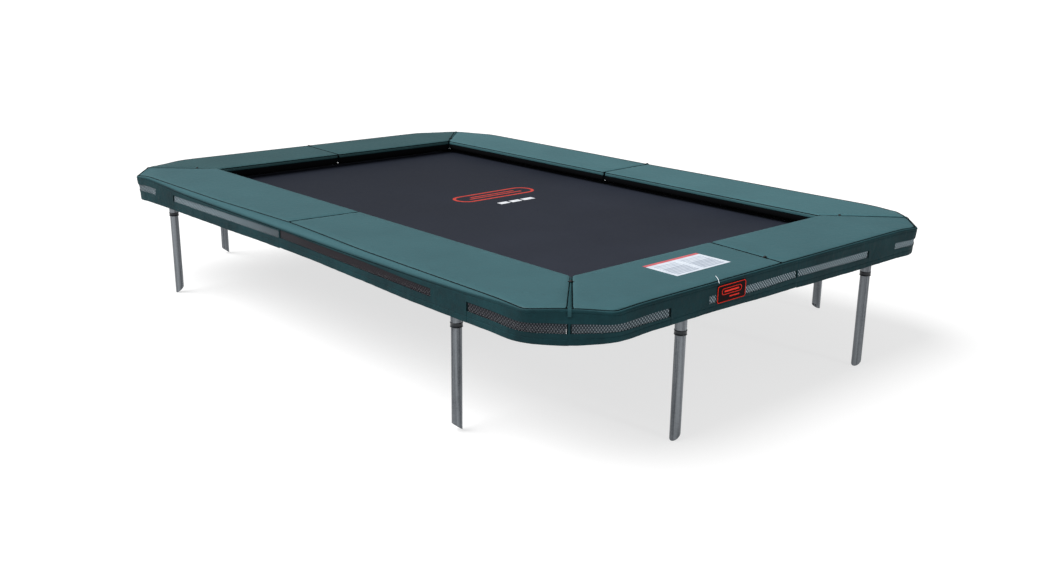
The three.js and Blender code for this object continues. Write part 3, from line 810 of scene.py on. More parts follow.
rings = place(build("v_rings", rings, SPRING_STEEL), body="mat")
tabs = place(build("ring_tabs", tabs, WEBBING, 40), body="mat")


def loop_band(profile):
    """A closed cross-section of (inset, z) points swept anticlockwise round the mat's edge."""
    rows, steps = [], np.linspace(0, 1, 9)
    for inset, z in profile:
        for index, (sx, sy) in enumerate(CORNERS.values()):
            x, y, angle = sx * STRAIGHT["long"], sy * STRAIGHT["end"], math.pi + (index + steps) * math.pi / 2
            rows.append(xyz(x + (BEND - inset) * np.cos(angle), y + (BEND - inset) * np.sin(angle), z))
    return np.concatenate(rows), (grid_quads(len(profile), len(CORNERS) * len(steps), True, True),)


def hem_profile(inset, width, edge):
    """Cross-section of the hem's flat band with soft edges."""
    low, high = (v.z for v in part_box("mat_hem"))
    half = [(inset + edge, low), (inset, low + edge), (inset, high - edge), (inset + edge, high)]
    return half + [(2 * inset + width - x, z) for x, z in half[::-1]]


def mat_shape():
    """The woven mat: one flat sheet with round corners, in a grid of plain quads."""
    half = np.array((HALF_LENGTH - MAT_INSET, HALF_WIDTH - MAT_INSET))
    x, y = (np.linspace(-h, h, n) for h, n in zip(half, (73, 45), strict=True))
    flat = xyz(*np.meshgrid(x, y, indexing="ij"))
    straight = half - (BEND - MAT_INSET)
    past = np.maximum(0, np.abs(flat) - straight)
    reach = np.linalg.norm(past, axis=-1)
    scale = np.where(reach > 0, past.max(-1) / np.maximum(reach, 1e-9), 1)[..., None]
    flat = np.sign(flat) * (np.minimum(np.abs(flat), straight) + past * scale)
    return shell(raised(flat, MAT_TOP), raised(flat, MAT_BOTTOM), np.ones((72, 44), bool))


mat = place(build("jumping_mat", mat_shape(), MAT_WEAVE, 40), "jump_mat", "mat")
hem = loop_band(hem_profile(MAT_INSET - 4 * MM, 54 * MM, 0.7 * MM))
hem = place(build("webbing_hem", hem, WEBBING, 60), "mat_hem", "mat")


def flat_ring(length, width, stroke, x, y):
    """A thin printed outline with round ends, long along Y."""
    t, half = np.linspace(0, math.pi, 14), length / 2 - width / 2
    low, high = MAT_TOP + 0.1 * MM, MAT_TOP + 0.4 * MM
    rows = []
    for inset, z in ((0, low), (0, high), (stroke, high), (stroke, low)):
        radius = width / 2 - inset
        for sign in (1, -1):
            rows.append(xyz(x + sign * radius * np.cos(t), y + sign * (half + radius * np.sin(t)), z))
    return np.concatenate(rows), (grid_quads(4, 2 * len(t), True, True)[:, ::-1],)


def flat_bar(x, y, length, width):
    """A thin printed bar, long along Y."""
    line = xyz(x, y + np.array((-0.5, 0, 0.5)) * length, MAT_TOP + 0.25 * MM)
    return strip(line, (1, 0, 0), width, 0.3 * MM, (0, 0, 1))


MARK_X, MARK_Y = -200 * MM, 175 * MM  # middle of the red mark
MARK_BARS = {-17: 320, 17: 380}  # place across the mark and length (mm)
WHITE_BARS = {73: 66, 157: 70, 249: 82}  # place along Y and length (mm)
WHITE_BARS_X = 3 * MM
mark = Shape().add(*flat_ring(560 * MM, 155 * MM, 18 * MM, MARK_X, MARK_Y))
for across, length in MARK_BARS.items():
    mark.add(*flat_bar(MARK_X + across * MM, MARK_Y, length * MM, 14 * MM))
mark = place(build("mat_mark_red", mark, PRINT_RED, smooth=False), body="mat")
bar = Shape()
for y, length in WHITE_BARS.items():
    bar.add(*flat_bar(WHITE_BARS_X, y * MM, length * MM, 40 * MM))
bar = place(build("mat_mark_white", bar, PRINT_WHITE, smooth=False), body="mat")

# ---- pads ----

CREASE_Z = 626.5 * MM  # top of the skirt's shoulder, where the pad's piping is sewn
PIPING_INSET = 3.2 * MM
PAD_EDGE_INSET = 6.5 * MM
PAD_ROWS = 22
PAD_RISE = 3.2 * MM
MID_GAP = 7 * MM
MITRE_GAP = (6 * MM, 21 * MM)  # at the inner corner and at the outer edge
MID_SEAM = {  # offset of the mid-side seam: pads' inner edge, pads' outer edge, skirt
    "front": (-0.008, -0.040, -0.047),
    "right": (0.004, -0.037, 0.060),
    "back": (0.0, -0.018, 0.0),
    "left": (-0.033, -0.008, 0.0),
}
# Where the underside droops at the inner edge (mm): a near-black flap that stands in for the shade under the
# pads.
UNDER_HEM = {"long": 574, "end": 568}
# The pads' sides, ring by ring: inset and seam groove (mm), then the drop below the top (mm) for the
# cover's rounded edge, or the share of the way down for the rest.
COVER_RINGS = ((2.2, 0, 1), (1.2, 0, 3), (0.6, 3.6, 5), (0.8, 0, 7), (0, 0, 11), (0, 0, 22.5))
SIDE_RINGS = ((0, 2.2, 0.11), (0.3, 0, 0.2), (0, 0, 0.58), (1.2, 0, 0.93))


def mid_seam(corner, side, which):
    """Where a pad or a skirt panel starts, measured from mid-side towards its corner."""
    return MID_SEAM[rail_of(corner, side)][which] * CORNERS[corner][side == "end"]


def pad_outline(corner, side, columns):
    """Inner and outer edge points of one pad from mid-side to the mitre."""
    t = np.linspace(0, 1, columns)
    inner_x, inner_y = OUTER["x"] - PAD_WIDTH, OUTER["y"] - PAD_WIDTH
    start, start_out = (mid_seam(corner, side, i) + MID_GAP / 2 for i in (0, 1))
    reach, level = (inner_x, inner_y) if side == "long" else (inner_y, inner_x)
    along, across = start + (reach - MITRE_GAP[0] * DIAGONAL - start) * t, np.full(columns, level)
    inner = xyz(along, across) if side == "long" else xyz(across, along)
    s = start_out + (EDGE_LENGTH[side] - start_out) * t
    inset = hang((corner, side), "wide", s) * MM + PAD_EDGE_INSET
    outer = edge_point(side, s / EDGE_LENGTH[side] * (edge_length(side, inset) - MITRE_GAP[1] / 2), inset)
    return inner, outer


def from_edge(flat):
    """Distance in from the pads' outer outline."""
    x, y = OUTER["x"] - flat[..., 0], OUTER["y"] - flat[..., 1]
    return np.minimum(np.minimum(x, y), (x + y - CHAMFER) * DIAGONAL)


def underside(side, flat):
    """The pad's bottom: above the tube at the outer edge, lower over the springs and at the inner edge."""
    steps = ((57, 84, 140, 200, 372, 400), (598.6, 583.5, 579.5, 578.3, PAD_UNDERSIDE / MM, UNDER_HEM[side]))
    return np.interp(from_edge(flat) / MM, *steps) * MM


def pad_shape(corner, side):
    """A closed pad: a top and a bottom grid joined by seamed sides. Returns it with its pin weights."""
    columns = 92 if side == "long" else 60
    inner, outer = pad_outline(corner, side, columns)
    t = np.linspace(0, 1, PAD_ROWS)[None, :, None]
    flat = inner[:, None] * (1 - t) + outer[:, None] * t
    size = columns * PAD_ROWS
    number = np.arange(size).reshape(columns, PAD_ROWS)
    ring = np.concatenate([number[:-1, 0], number[-1, :-1], number[:0:-1, -1], number[0, :0:-1]])
    around = len(ring)
    loop = flat.reshape(-1, 2)[ring]
    ahead, behind = unit(np.roll(loop, -1, 0) - loop), unit(loop - np.roll(loop, 1, 0))
    normals = [xyz(step[:, 1], -step[:, 0]) for step in (ahead, behind)]
    normal = normals[0] + normals[1]
    normal = normal / np.maximum((normal * normals[0]).sum(1, keepdims=True), 0.3)
    if side == "end":
        normal = -normal
    part_of_ring = np.repeat([0, 1, 2, 3], [columns - 1, PAD_ROWS - 1, columns - 1, PAD_ROWS - 1])
    seam = (np.arange(around) < columns).astype(float)  # the seams show on the inner edge
    top = PAD_TOP - 1.5 * MM
    high = top - 22.5 * MM
    plane = flat.reshape(-1, 2).copy()
    plane[ring] = loop - normal * 6 * MM
    bottom = underside(side, plane[ring])
    rings = [(inset + groove * seam, top - drop * MM) for inset, groove, drop in COVER_RINGS]
    rings += [(inset + groove * seam, high + (bottom - high) * share) for inset, groove, share in SIDE_RINGS]
    rings = [raised(loop - normal * (inset * MM)[:, None], z) for inset, z in rings]
    points = np.concatenate([raised(plane, top), raised(plane, underside(side, plane)), *rings])
    points[:, 2] -= sag(corner, points[:, :2]) * np.clip((points[:, 2] - PAD_OVER_TUBE) / (28 * MM), 0, 1)
    quads = grid_quads(columns, PAD_ROWS)
    levels = [ring] + [2 * size + i * around + np.arange(around) for i in range(len(rings))] + [ring + size]
    cover, black, thread = [quads], [quads[:, ::-1] + size], []
    inner_faces, joint_faces = np.arange(around) < columns - 1, np.isin(part_of_ring, (1, 3))
    for index, (a, b) in enumerate(zip(levels[:-1], levels[1:], strict=True)):
        band = xyz(a, np.roll(a, -1), np.roll(b, -1), b)
        # Painted shade: the bands at the inner-edge grooves and the end faces at the joints go to the thread
        # list, coloured with the near-black seam material.
        seam_shaded = inner_faces & (index in (2, 3, 6)) | joint_faces & (index > 0)
        (black if index > 6 else cover).append(band[~seam_shaded])
        thread.append(band[seam_shaded])
    weights = np.zeros(len(points))
    weights[size:] = 1.0
    weights[ring] = 0.35
    return points, tuple(np.concatenate(part) for part in (cover, black, thread)), weights


CLOTH = {
    "quality": 5, "mass": 0.35, "tension_stiffness": 18, "compression_stiffness": 18, "shear_stiffness": 8,
    "bending_stiffness": 0.6, "use_pressure": True, "uniform_pressure_force": 4, "shrink_min": -0.012,
    "vertex_group_mass": "pin", "pin_stiffness": 1.5,
}
CLOTH_STEPS = 16


def swollen(piece, weights):
    """Where a cloth simulation with pressure inside takes the cover's points."""
    group = piece.vertex_groups.new(name="pin")
    for value in (0.35, 1.0):
        group.add(np.flatnonzero(weights == value).tolist(), value, "REPLACE")
    cloth = piece.modifiers.new("cloth", "CLOTH")
    for name, value in CLOTH.items():
        setattr(cloth.settings, name, value)
    cloth.settings.effector_weights.gravity = 0
    cloth.collision_settings.use_collision = False
    cloth.point_cache.frame_start, cloth.point_cache.frame_end = 1, CLOTH_STEPS
    for step in range(1, CLOTH_STEPS + 1):
        bpy.context.scene.frame_set(step)
    shown = piece.evaluated_get(bpy.context.evaluated_depsgraph_get())
    moved = np.array([v.co for v in shown.data.vertices], float)
    piece.modifiers.clear()
    bpy.context.scene.frame_set(1)
    piece.vertex_groups.clear()
    return moved


def inflate(piece, weights, seed):
    """Lets the cover swell and wrinkle over its filling; seams and underside stay where they were cut."""
    rest = np.array([v.co for v in piece.data.vertices], float)
    lift = rough(rest, 14, seed) * 0.6 * MM * (1 - weights)
    piece.data.vertices.foreach_set("co", (rest + xyz(0, 0, lift)).ravel())
    moved = swollen(piece, weights)
    step = (moved - rest) * (1 - weights)[:, None]
    length = np.linalg.norm(step, axis=1, keepdims=True)
    step *= np.minimum(1, PAD_RISE / np.maximum(length, 1e-9))
    piece.data.vertices.foreach_set("co", (rest + step).ravel())
    piece.data.update()


def subdivided(piece):
    """The piece with one level of subdivision applied."""
    piece.modifiers.new("fine", "SUBSURF").levels = 1
    shown = piece.evaluated_get(bpy.context.evaluated_depsgraph_get())
    mesh = bpy.data.meshes.new_from_object(shown)
    mesh.name = piece.name
    piece.modifiers.clear()
    piece.data = mesh
    return piece


pads = {}
for index, (corner, signs) in enumerate(CORNERS.items()):
    for side in SIDES:
        points, faces, weights = pad_shape(corner, side)
        shape = Shape().add(*mirror(points, faces, signs), (0, 1, 2))
        # Left-end pads take the painted-shade copy of the cover, and back pads take the painted-light copy.
        cover = {"left": PAD_SHADED_LEFT, "back": PAD_LIT_BACK}.get(rail_of(corner, side), PAD_COVER)
        pad = build(f"soft_pad_{corner}_{side}", shape, [cover, PAD_UNDER, SEAM_SHADE], out=True)
        inflate(pad, weights, 2 * index + (side == "end") + 1)
        subdivided(pad)
        pads[corner, side] = place(pad, f"pad_{corner}_{side}")

# ---- skirt and vent mesh ----

SKIRT_THICKNESS = 1.2 * MM
ROUNDING = ((492, 526, 536, 575, 600, 626), (105, 90, 80, 50, 30, 16))
HEM_LIFTS = (0, 1.2, 6, 12, 18, 22.5, 23.5, 24.5)
LOW_ROW, HIGH_ROW = 11, 17
MESH_CELL = 6 * MM
MESH_OPEN = 0.1
MESH_ROWS = 16


def heights(key, s):
    """Heights of a panel's hem, window edges and foot of the shoulder."""
    lift = [hang(key, what, s) * MM for what in ("hem", "low", "high", "deep")]
    return SKIRT_BOTTOM + lift[0], WINDOW_BOTTOM + lift[1], WINDOW_TOP + lift[2], CREASE_Z - lift[3]


def skirt_section(key, s):
    """Height, inset, tilt and lightness along the skirt's cross-section, hem to piping, one row per s; the
    lightness is partly the shoulder's own colour and partly painted light.
    """
    hem, low, high, foot = heights(key, s)
    wide, deep, lip, light = (hang(key, what, s) for what in ("wide", "deep", "lip", "light"))
    room = np.minimum(1, (foot - high) / (11 * MM))
    band = hem + HEM_LIFTS[-1] * MM
    rows = [(hem + lift * MM, 0, 0, 0) for lift in HEM_LIFTS]
    rows += [(band + (low - band) * share, 0, 0, 0) for share in (0.35, 0.7, 0.9, 1)]
    rows += [(low + (high - low) * share, 0, 0, 0) for share in (0.06, 0.3, 0.55, 0.8, 0.94, 1)]
    top = foot - 9 * MM * room
    rows += [(high + (top - high) * share, 0, 0, 0) for share in (0.2, 0.5, 0.8)]
    for drop, share in ((9, 0), (6.5, 0.15), (4.5, 0.6), (3, 1), (1.5, 0.75), (0.5, 0.1)):
        rows.append((foot - drop * MM * room, lip * share, 0, 0))
    for degrees in (0, 12, 25, 38, 51, 64, 77, 90):
        a = math.radians(degrees)
        # Painted light: the shoulder's upper rows take the paler shade, more on panels whose light value is
        # high.
        pale = (0.35 + 0.65 * light) * smoothstep((degrees - 60 * (1 - light)) / 22) * (light > 0.02)
        rows.append((foot + deep * MM * math.sin(a), wide * (1 - math.cos(a)), degrees, pale))
    for step, drop, degrees in ((1.2, 0.7, 130), (2.2, 3, 165), (2.8, 7, 180), (2.8, 14, 180)):
        rows.append((CREASE_Z - drop * MM, wide + step, degrees, 0))
    rows = np.stack([xyz(*row) for row in rows], 1)
    z, inset, tilt, pale = np.moveaxis(rows, -1, 0)
    return z, inset * MM, np.radians(tilt), pale


def skirt_surface(corner, side, s, z, inset):
    """Points on the outside of the hanging skirt, and the level direction it faces."""
    rounding = np.interp(z / MM, *ROUNDING) * MM
    share = s / EDGE_LENGTH[side] * edge_length(side, inset)
    before, flat, after = (edge_point(side, share + step, inset, rounding) for step in (-MM, 0, MM))
    along = unit(after - before)
    normal = xyz(-along[..., 1], along[..., 0]) if side == "long" else xyz(along[..., 1], -along[..., 0])
    away = flat - [STRAIGHT["long"], STRAIGHT["end"]]
    radius = np.linalg.norm(away, axis=-1)
    needed = BEND + 26.6 * MM * (1 - 0.5 * smoothstep((z - 0.575) / 0.028))  # clear of the bent tube
    push = 0.5 * (needed - radius + np.hypot(needed - radius, 3 * MM))
    push *= smoothstep((0.606 - z) / 0.012) * smoothstep(away.min(-1) / 0.03)
    flat = flat + away / radius[..., None] * push[..., None]
    free = smoothstep((0.600 - z) / 0.09)
    spots = raised(flat * CORNERS[corner], z * 0.6).reshape(-1, 3)

    def noise_at(height, scale, seed):
        return rough(spots * [1, 1, height], scale, seed).reshape(z.shape)

    wide, folds, crumple = noise_at(1, 5.5, 3), noise_at(0.5, 24, 4), noise_at(1, 60, 5)
    bulge = (1.6 + wide * 1.6 + folds * 1.8) * free + crumple * (0.3 + 0.7 * free)
    flat = flat + normal * (bulge * MM)[..., None]
    ripple = noise_at(0, 3.1, 12) * 1.3 * MM * smoothstep((0.53 - z) / 0.04)
    z = z - sag(corner, flat) * (0.6 + 0.4 * smoothstep((z - 0.53) / 0.07)) + ripple
    return raised(flat, z), raised(normal, 0)


def fabric(corner, side, s, behind=0.0, thickness=SKIRT_THICKNESS):
    """Outer and inner faces of the skirt's fabric at distances s, or of a layer behind it."""
    z, inset, tilt, pale = skirt_section((corner, side), s)
    points, normal = skirt_surface(corner, side, s[:, None] * np.ones((1, z.shape[1])), z, inset)
    facing = normal * np.cos(tilt)[..., None] + np.array([0, 0, 1.0]) * np.sin(tilt)[..., None]
    return points - facing * behind, points - facing * (behind + thickness), normal, pale


def skirt_columns(corner, side):
    """Distances from mid-side, with the windows' edges among them; also the windows and the slit."""
    first, last = mid_seam(corner, side, 2) + MM, EDGE_LENGTH[side] - MM
    shift = PATCH_SHIFT.get((corner, side), PATCH_FROM[corner])
    patch = STRAIGHT[side] - LEG_INSIDE_BEND[side] + shift
    windows = [(first + WINDOW_MARGIN, patch), (patch + PATCH_WIDTH, last - WINDOW_MARGIN)]
    slit = patch if shift > -100 * MM else patch + PATCH_WIDTH
    slit = (slit - 2 * MM, slit) if slit == patch else (slit, slit + 2 * MM)
    fixed = sorted({first, last, *slit, *[e + d for w in windows for e in w for d in (-4 * MM, 0, 4 * MM)]})
    columns = [fixed[0]]
    for a, b in zip(fixed[:-1], fixed[1:], strict=True):
        columns += list(np.linspace(a, b, max(1, round((b - a) / (11 * MM))) + 1)[1:])
    return np.array(columns), windows, slit


def skirt_shape(corner, side):
    """One panel's two faces, which cells are fabric, its pale shares, its columns and its slit."""
    columns, windows, slit = skirt_columns(corner, side)
    outer, inner, normal, pale = fabric(corner, side, columns)
    rows = outer.shape[1]
    u, row = np.meshgrid(columns, np.arange(rows), indexing="ij")
    middles = (columns[:-1] + columns[1:]) / 2
    kept = np.ones((len(columns) - 1, rows - 1), bool)
    kept[(middles > slit[0]) & (middles < slit[1]), :LOW_ROW] = False
    relief = 0.55 * ((row > 0) & (row < 6)) - 0.45 * (row == 6)
    for start, end in windows:
        near = np.maximum(start - u, u - end) < 5 * MM
        inside = (u > start + 1e-6) & (u < end - 1e-6) & (row > LOW_ROW) & (row < HIGH_ROW)
        relief += 0.6 * (near & (row >= LOW_ROW - 2) & (row <= HIGH_ROW + 1) & ~inside)
        kept[(middles > start) & (middles < end), LOW_ROW:HIGH_ROW] = False
    relief -= 0.8 * smoothstep(1 - np.minimum(u - columns[0], columns[-1] - u) / (6 * MM))
    return outer + normal * (relief * MM)[..., None], inner, kept, pale, columns, slit


def cell_areas(grid):
    """Areas of the cells between a grid's points."""
    return np.linalg.norm(np.cross(grid[1:, 1:] - grid[:-1, :-1], grid[:-1, 1:] - grid[1:, :-1]), axis=-1) / 2


def vent_shape(corner, side):
    """A net of diamond openings that follows the skirt just inside it."""
    half = MESH_CELL / 2
    first, last = mid_seam(corner, side, 2) + 5 * MM, EDGE_LENGTH[side] - 5 * MM
    across = int((last - first) / half) // 2 * 2
    centres = np.array([(i, j) for i in range(1, across) for j in range(1, MESH_ROWS) if (i + j) % 2], float)
    ring = np.array([(-1, 0), (0, -1), (1, 0), (0, 1)], float)
    outer, inner = centres[:, None] + ring, centres[:, None] + ring * MESH_OPEN
    keys, back = np.unique(np.round(outer.reshape(-1, 2)).astype(int), axis=0, return_inverse=True)
    flat = np.concatenate([keys.astype(float), inner.reshape(-1, 2)])
    o = back.reshape(-1, 4)
    n = len(keys) + np.arange(len(centres) * 4).reshape(-1, 4)
    o2, n2 = np.roll(o, -1, 1), np.roll(n, -1, 1)
    quads = np.concatenate([xyz(o[:, k], o2[:, k], n2[:, k], n[:, k]) for k in range(4)])
    s = first + flat[:, 0] * half
    _, low, high, foot = heights((corner, side), s)
    bottom = low - 7 * MM
    top = np.minimum(high + 6 * MM, foot - 8 * MM * np.minimum(1, (foot - high) / (11 * MM)))
    z = bottom + (top - bottom) * flat[:, 1] / MESH_ROWS
    points, normal = skirt_surface(corner, side, s, z, 0 * z)
    size = (float((top - bottom).mean()), last - first)
    faces = (quads if side == "end" else quads[:, ::-1],)
    # The last value is the net's painted-light share, from the panel's net column.
    return points - normal * 2.9 * MM, faces, size, hang((corner, side), "net", s)


def set_pale(piece, values):
    """Stores how far each point takes the paler of its material's two shades: painted light in part on the
    skirt, wholly on the net.
    """
    piece.data.attributes.new("pale", "FLOAT", "POINT").data.foreach_set("value", values.astype(np.float32))


def tape(corner, side, start, end):
    """Seam tape behind a joint in the skirt, near-black as painted shade in the joint."""
    outer, inner, _, _ = fabric(corner, side, np.linspace(start, end, 3), 2.6 * MM, 0.8 * MM)
    outer, inner = outer[:, 1:-4], inner[:, 1:-4]
    return shell(outer, inner, np.ones((2, outer.shape[1] - 1), bool))


for corner, signs in CORNERS.items():
    tapes = Shape()
    for side in SIDES:
        key, label = (corner, side), f"{corner}_{side}"
        outer, inner, kept, pale, columns, slit = skirt_shape(*key)
        points, faces, pale = shell(outer, inner, kept, pale)
        skirt = build(f"side_skirt_{label}", mirror(points, faces, signs), SKIRT_FABRIC, 50, out=True)
        set_pale(skirt, pale)
        place(skirt, f"skirt_{label}")
        length, areas = float(columns[-1] - columns[0]), cell_areas(outer)
        flat = (float(areas.sum()) / length, length)
        points, faces, flat, pale = vent_shape(*key)
        net = build(f"vent_net_{label}", mirror(points, faces, signs), VENT_MESH)
        # The net's pale share is painted light seen through it.
        set_pale(net, pale)
        place(net, f"vent_mesh_{label}")
        start, last = mid_seam(*key, 2), EDGE_LENGTH[side]
        for a, b in ((start, start + 9 * MM), (last - 9 * MM, last), (slit[0] - 7 * MM, slit[1] + 7 * MM)):
            tapes.add(*mirror(*tape(*key, a, b), signs))
        # The edge piping uses the near-black seam material: painted shade for the dark crease line.
        s = np.linspace(mid_seam(*key, 1), last, 170)
        inset = hang(key, "wide", s) * MM + PIPING_INSET
        flat = edge_point(side, s / last * edge_length(side, inset), inset)
        line = raised(flat, CREASE_Z - 2.3 * MM - sag(corner, flat))
        cord = mirror(*rod(line, 4.8 * MM, 8), signs)
        place(build(f"edge_piping_{label}", cord, SEAM_SHADE, out=True))
    place(build(f"seam_tapes_painted_shade_{corner}", tapes, SEAM_SHADE, 50, out=True))

# ---- joints between pads ----


def gusset(line, width, top, fall=1.6 * MM):
    """A rounded fabric strip that lies in the gap between two pads."""
    across = np.cross([0, 0, 1.0], unit(line[-1] - line[0]))
    half, shares = np.broadcast_to(width, len(line))[:, None] / 2, np.linspace(-1, 1, 9)
    rows = []
    for t, inset, drop in [(t, 0, 0) for t in shares] + [(t, 0.4 * MM, 1.1 * MM) for t in shares[::-1]]:
        rows.append(line + across * t * (half - inset) + [0, 0, top - fall * t**2 - drop])
    starts = np.arange(len(rows)) * len(line)
    ends = ([starts], [starts[::-1] + len(line) - 1])
    return np.concatenate(rows), (grid_quads(len(rows), len(line), wrap_rows=True), *ends)


def dropped(line, depth):
    """A line of points with its first one repeated lower down."""
    return np.concatenate([line[:1] - [0, 0, depth], line])


def toggle(spot, across, z):
    """A black elastic loop with a round bead that ties two pads together."""
    a = np.linspace(0, math.pi, 9)
    profile = np.stack([np.maximum(0.4, 7.5 * np.sin(a)), -4.5 * np.cos(a)], 1) * MM
    bead, faces = lathe(profile, 20, *spot)
    shape = Shape().add(bead + [0, 0, z + 2.6 * MM], faces)
    across, t = np.array([*across, 0.0]), np.linspace(-1, 1, 15)
    along = np.cross([0, 0, 1.0], across)
    for sign in (1, -1):
        line = np.array([*spot, z + 1.4 * MM]) + across * t[:, None] * 15 * MM
        line += along * (sign * 2.4 * MM * np.cos(t * math.pi / 2))[:, None]
        line[:, 2] -= 2.6 * MM * smoothstep((np.abs(t) - 0.8) / 0.2)
        shape.add(*rod(line, 1.3 * MM, 8))
    return shape


def put_toggle(name, spot, across):
    """Adds the toggle at a joint as a piece of its own."""
    knot = build(f"pad_toggle_{name}", toggle(spot, across, PAD_TOP - 1.6 * MM), ELASTIC, 60)
    place(knot)


TOGGLE_AT = {"front_right": 86 * MM, "back_right": 97 * MM, "front_left": 131 * MM, "back_left": 100 * MM}
TOGGLE_FROM_EDGE = {"right": 110 * MM, "back": 30 * MM, "left": 30 * MM}
TAB_FOLD = (  # distance in from the mitre's outer end and height, in mm
    (24, 626.4), (17, 628.4), (11, 629.2), (6, 628.2), (2, 624.8),
    (-1.4, 619), (-2.4, 612), (-2.8, 604), (-2.4, 599),
)
inner_corner = np.array([OUTER["x"] - PAD_WIDTH, OUTER["y"] - PAD_WIDTH])
outer_mitre = edge_point("long", EDGE_LENGTH["long"])
for corner, signs in CORNERS.items():
    direction = np.array(signs) * DIAGONAL
    side_way = np.array([-direction[1], direction[0], 0])
    start, end = inner_corner * signs, (outer_mitre - 15 * MM * DIAGONAL) * signs
    t = np.linspace(0.01, 1, 30)
    line = dropped(raised(start + (end - start) * t[:, None], 0), 53 * MM)
    width = 0.9 * (MITRE_GAP[0] + (MITRE_GAP[1] - MITRE_GAP[0]) * np.append(t[:1], t))
    strip_shape = Shape().add(*gusset(line, width, PAD_TOP - 3 * MM, 4 * MM))
    place(build(f"mitre_gusset_{corner}", strip_shape, GUSSET_FABRIC, 60, out=True))
    put_toggle(corner, start + direction * TOGGLE_AT[corner], side_way[:2])
    fold = np.array(TAB_FOLD) * MM
    line = raised(outer_mitre * signs - direction * fold[:, :1], fold[:, 1])
    up = np.cross(unit(np.gradient(line, axis=0)), side_way)
    tab = strip(line, side_way, 14 * MM, 1.3 * MM, up)
    place(build(f"corner_tab_{corner}", tab, GUSSET_FABRIC, 50, out=True))

for name, (sx, sy) in RAILS.items():
    out, way = np.array([sx, sy], float), np.array([abs(sy), abs(sx)], float)
    level = OUTER["x"] if sx else OUTER["y"]
    at_inner, at_outer, _ = MID_SEAM[name]
    t = np.linspace(0.005, 1, 24)[:, None]
    if name in ("back", "left"):
        reach = PAD_WIDTH - (hang("long", "wide", 0) * MM + PAD_EDGE_INSET)
    else:
        reach = PAD_WIDTH - (15 * MM if sx else 52 * MM)
    line = out * (level - PAD_WIDTH + reach * t) + way * (at_inner + (at_outer - at_inner) * t)
    strip_shape = Shape().add(*gusset(dropped(raised(line, 0), 48 * MM), 7 * MM, PAD_TOP - 7 * MM))
    # The mid-side strip uses the near-black seam material: painted shade in the gap between the pads.
    place(build(f"side_gusset_painted_shade_{name}", strip_shape, SEAM_SHADE, 60, out=True))
    if name in TOGGLE_FROM_EDGE:
        t = 1 - TOGGLE_FROM_EDGE[name] / PAD_WIDTH
        spot = out * (level - TOGGLE_FROM_EDGE[name]) + way * (at_inner + (at_outer - at_inner) * t)
        put_toggle(name, spot, way)

# ---- label, badge and tie ----

label_low, label_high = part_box("label_patch")
LABEL_GRID = (39, 69)
LABEL_PAD = BVHTree.FromObject(pads["front_right", "end"], bpy.context.evaluated_depsgraph_get())


def pad_height(x, y):
    """Height of the label's pad under a point."""
    found = LABEL_PAD.ray_cast(Vector((x, y, 1.0)), Vector((0, 0, -1)))[0]
    return found.z if found else PAD_TOP


def label_shape():
    """A patch that follows the pad under it: a stripe on its inner edge and plain bars on the rest."""
    x, y = (np.linspace(a, b, n) for a, b, n in zip(label_low[:2], label_high[:2], LABEL_GRID, strict=True))
    flat = xyz(*np.meshgrid(x, y, indexing="ij"))
    z = np.reshape([pad_height(*spot) for spot in flat.reshape(-1, 2)], LABEL_GRID)
    top = raised(flat, z + 0.9 * MM)
    points, faces = shell(top, top - [0, 0, 0.6 * MM], np.ones((len(x) - 1, len(y) - 1), bool))
    centre = points[faces[0]].mean(1)
    share, along = ((centre[:, i] - label_low[i]) / (label_high[i] - label_low[i]) for i in (0, 1))
    lines = (share > 0.2) & (share < 0.92) & ((share * 12.5) % 1 < 0.42) & (along > 0.06) & (along < 0.94)
    marks = np.where(share < 0.11, 1, 0)
    marks[lines & ((along < 0.46) | (along > 0.54))] = 2
    shape = Shape().add(points, faces)
    shape.marks = marks.tolist()
    return shape


patch = build("blank_label", label_shape(), [LABEL_VINYL, LABEL_STRIPE, LABEL_BARS], 50, out=True)
place(patch, "label_patch")

badge_low, badge_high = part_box("badge_patch")
BADGE_FACE = badge_high.x
BADGE_MIDDLE = (badge_low + badge_high) / 2
BADGE_HALF = ((badge_high - badge_low) / 2)[1:]


def badge_outline(half_length, half_height, radius, x, up=0.0):
    """A rounded rectangle at a height above the badge's middle, at x."""
    points = []
    for i, (sx, sy) in enumerate(((1, 1), (-1, 1), (-1, -1), (1, -1))):
        a = i * math.pi / 2 + np.linspace(0, math.pi / 2, 7)
        along = sx * (half_length - radius) + radius * np.cos(a)
        height = sy * (half_height - radius) + radius * np.sin(a) + up
        points.append(xyz(BADGE_FACE + x, BADGE_MIDDLE.y + along, BADGE_MIDDLE.z + height))
    return np.concatenate(points)


def badge_field():
    """The badge's dark field, with a soft edge."""
    length, height = BADGE_HALF
    rows = [
        badge_outline(length - i * MM, height - i * MM, (12 - i) * MM, x * MM)
        for i, x in ((0.4, 0.1), (0.4, 0.9), (1.2, 1.4), (5, 1.4))
    ]
    count = len(rows[0])
    ring = np.arange(count)
    quads = grid_quads(len(rows), count, wrap_columns=True)
    return np.concatenate(rows), (quads, [ring + (len(rows) - 1) * count], [ring[::-1]])


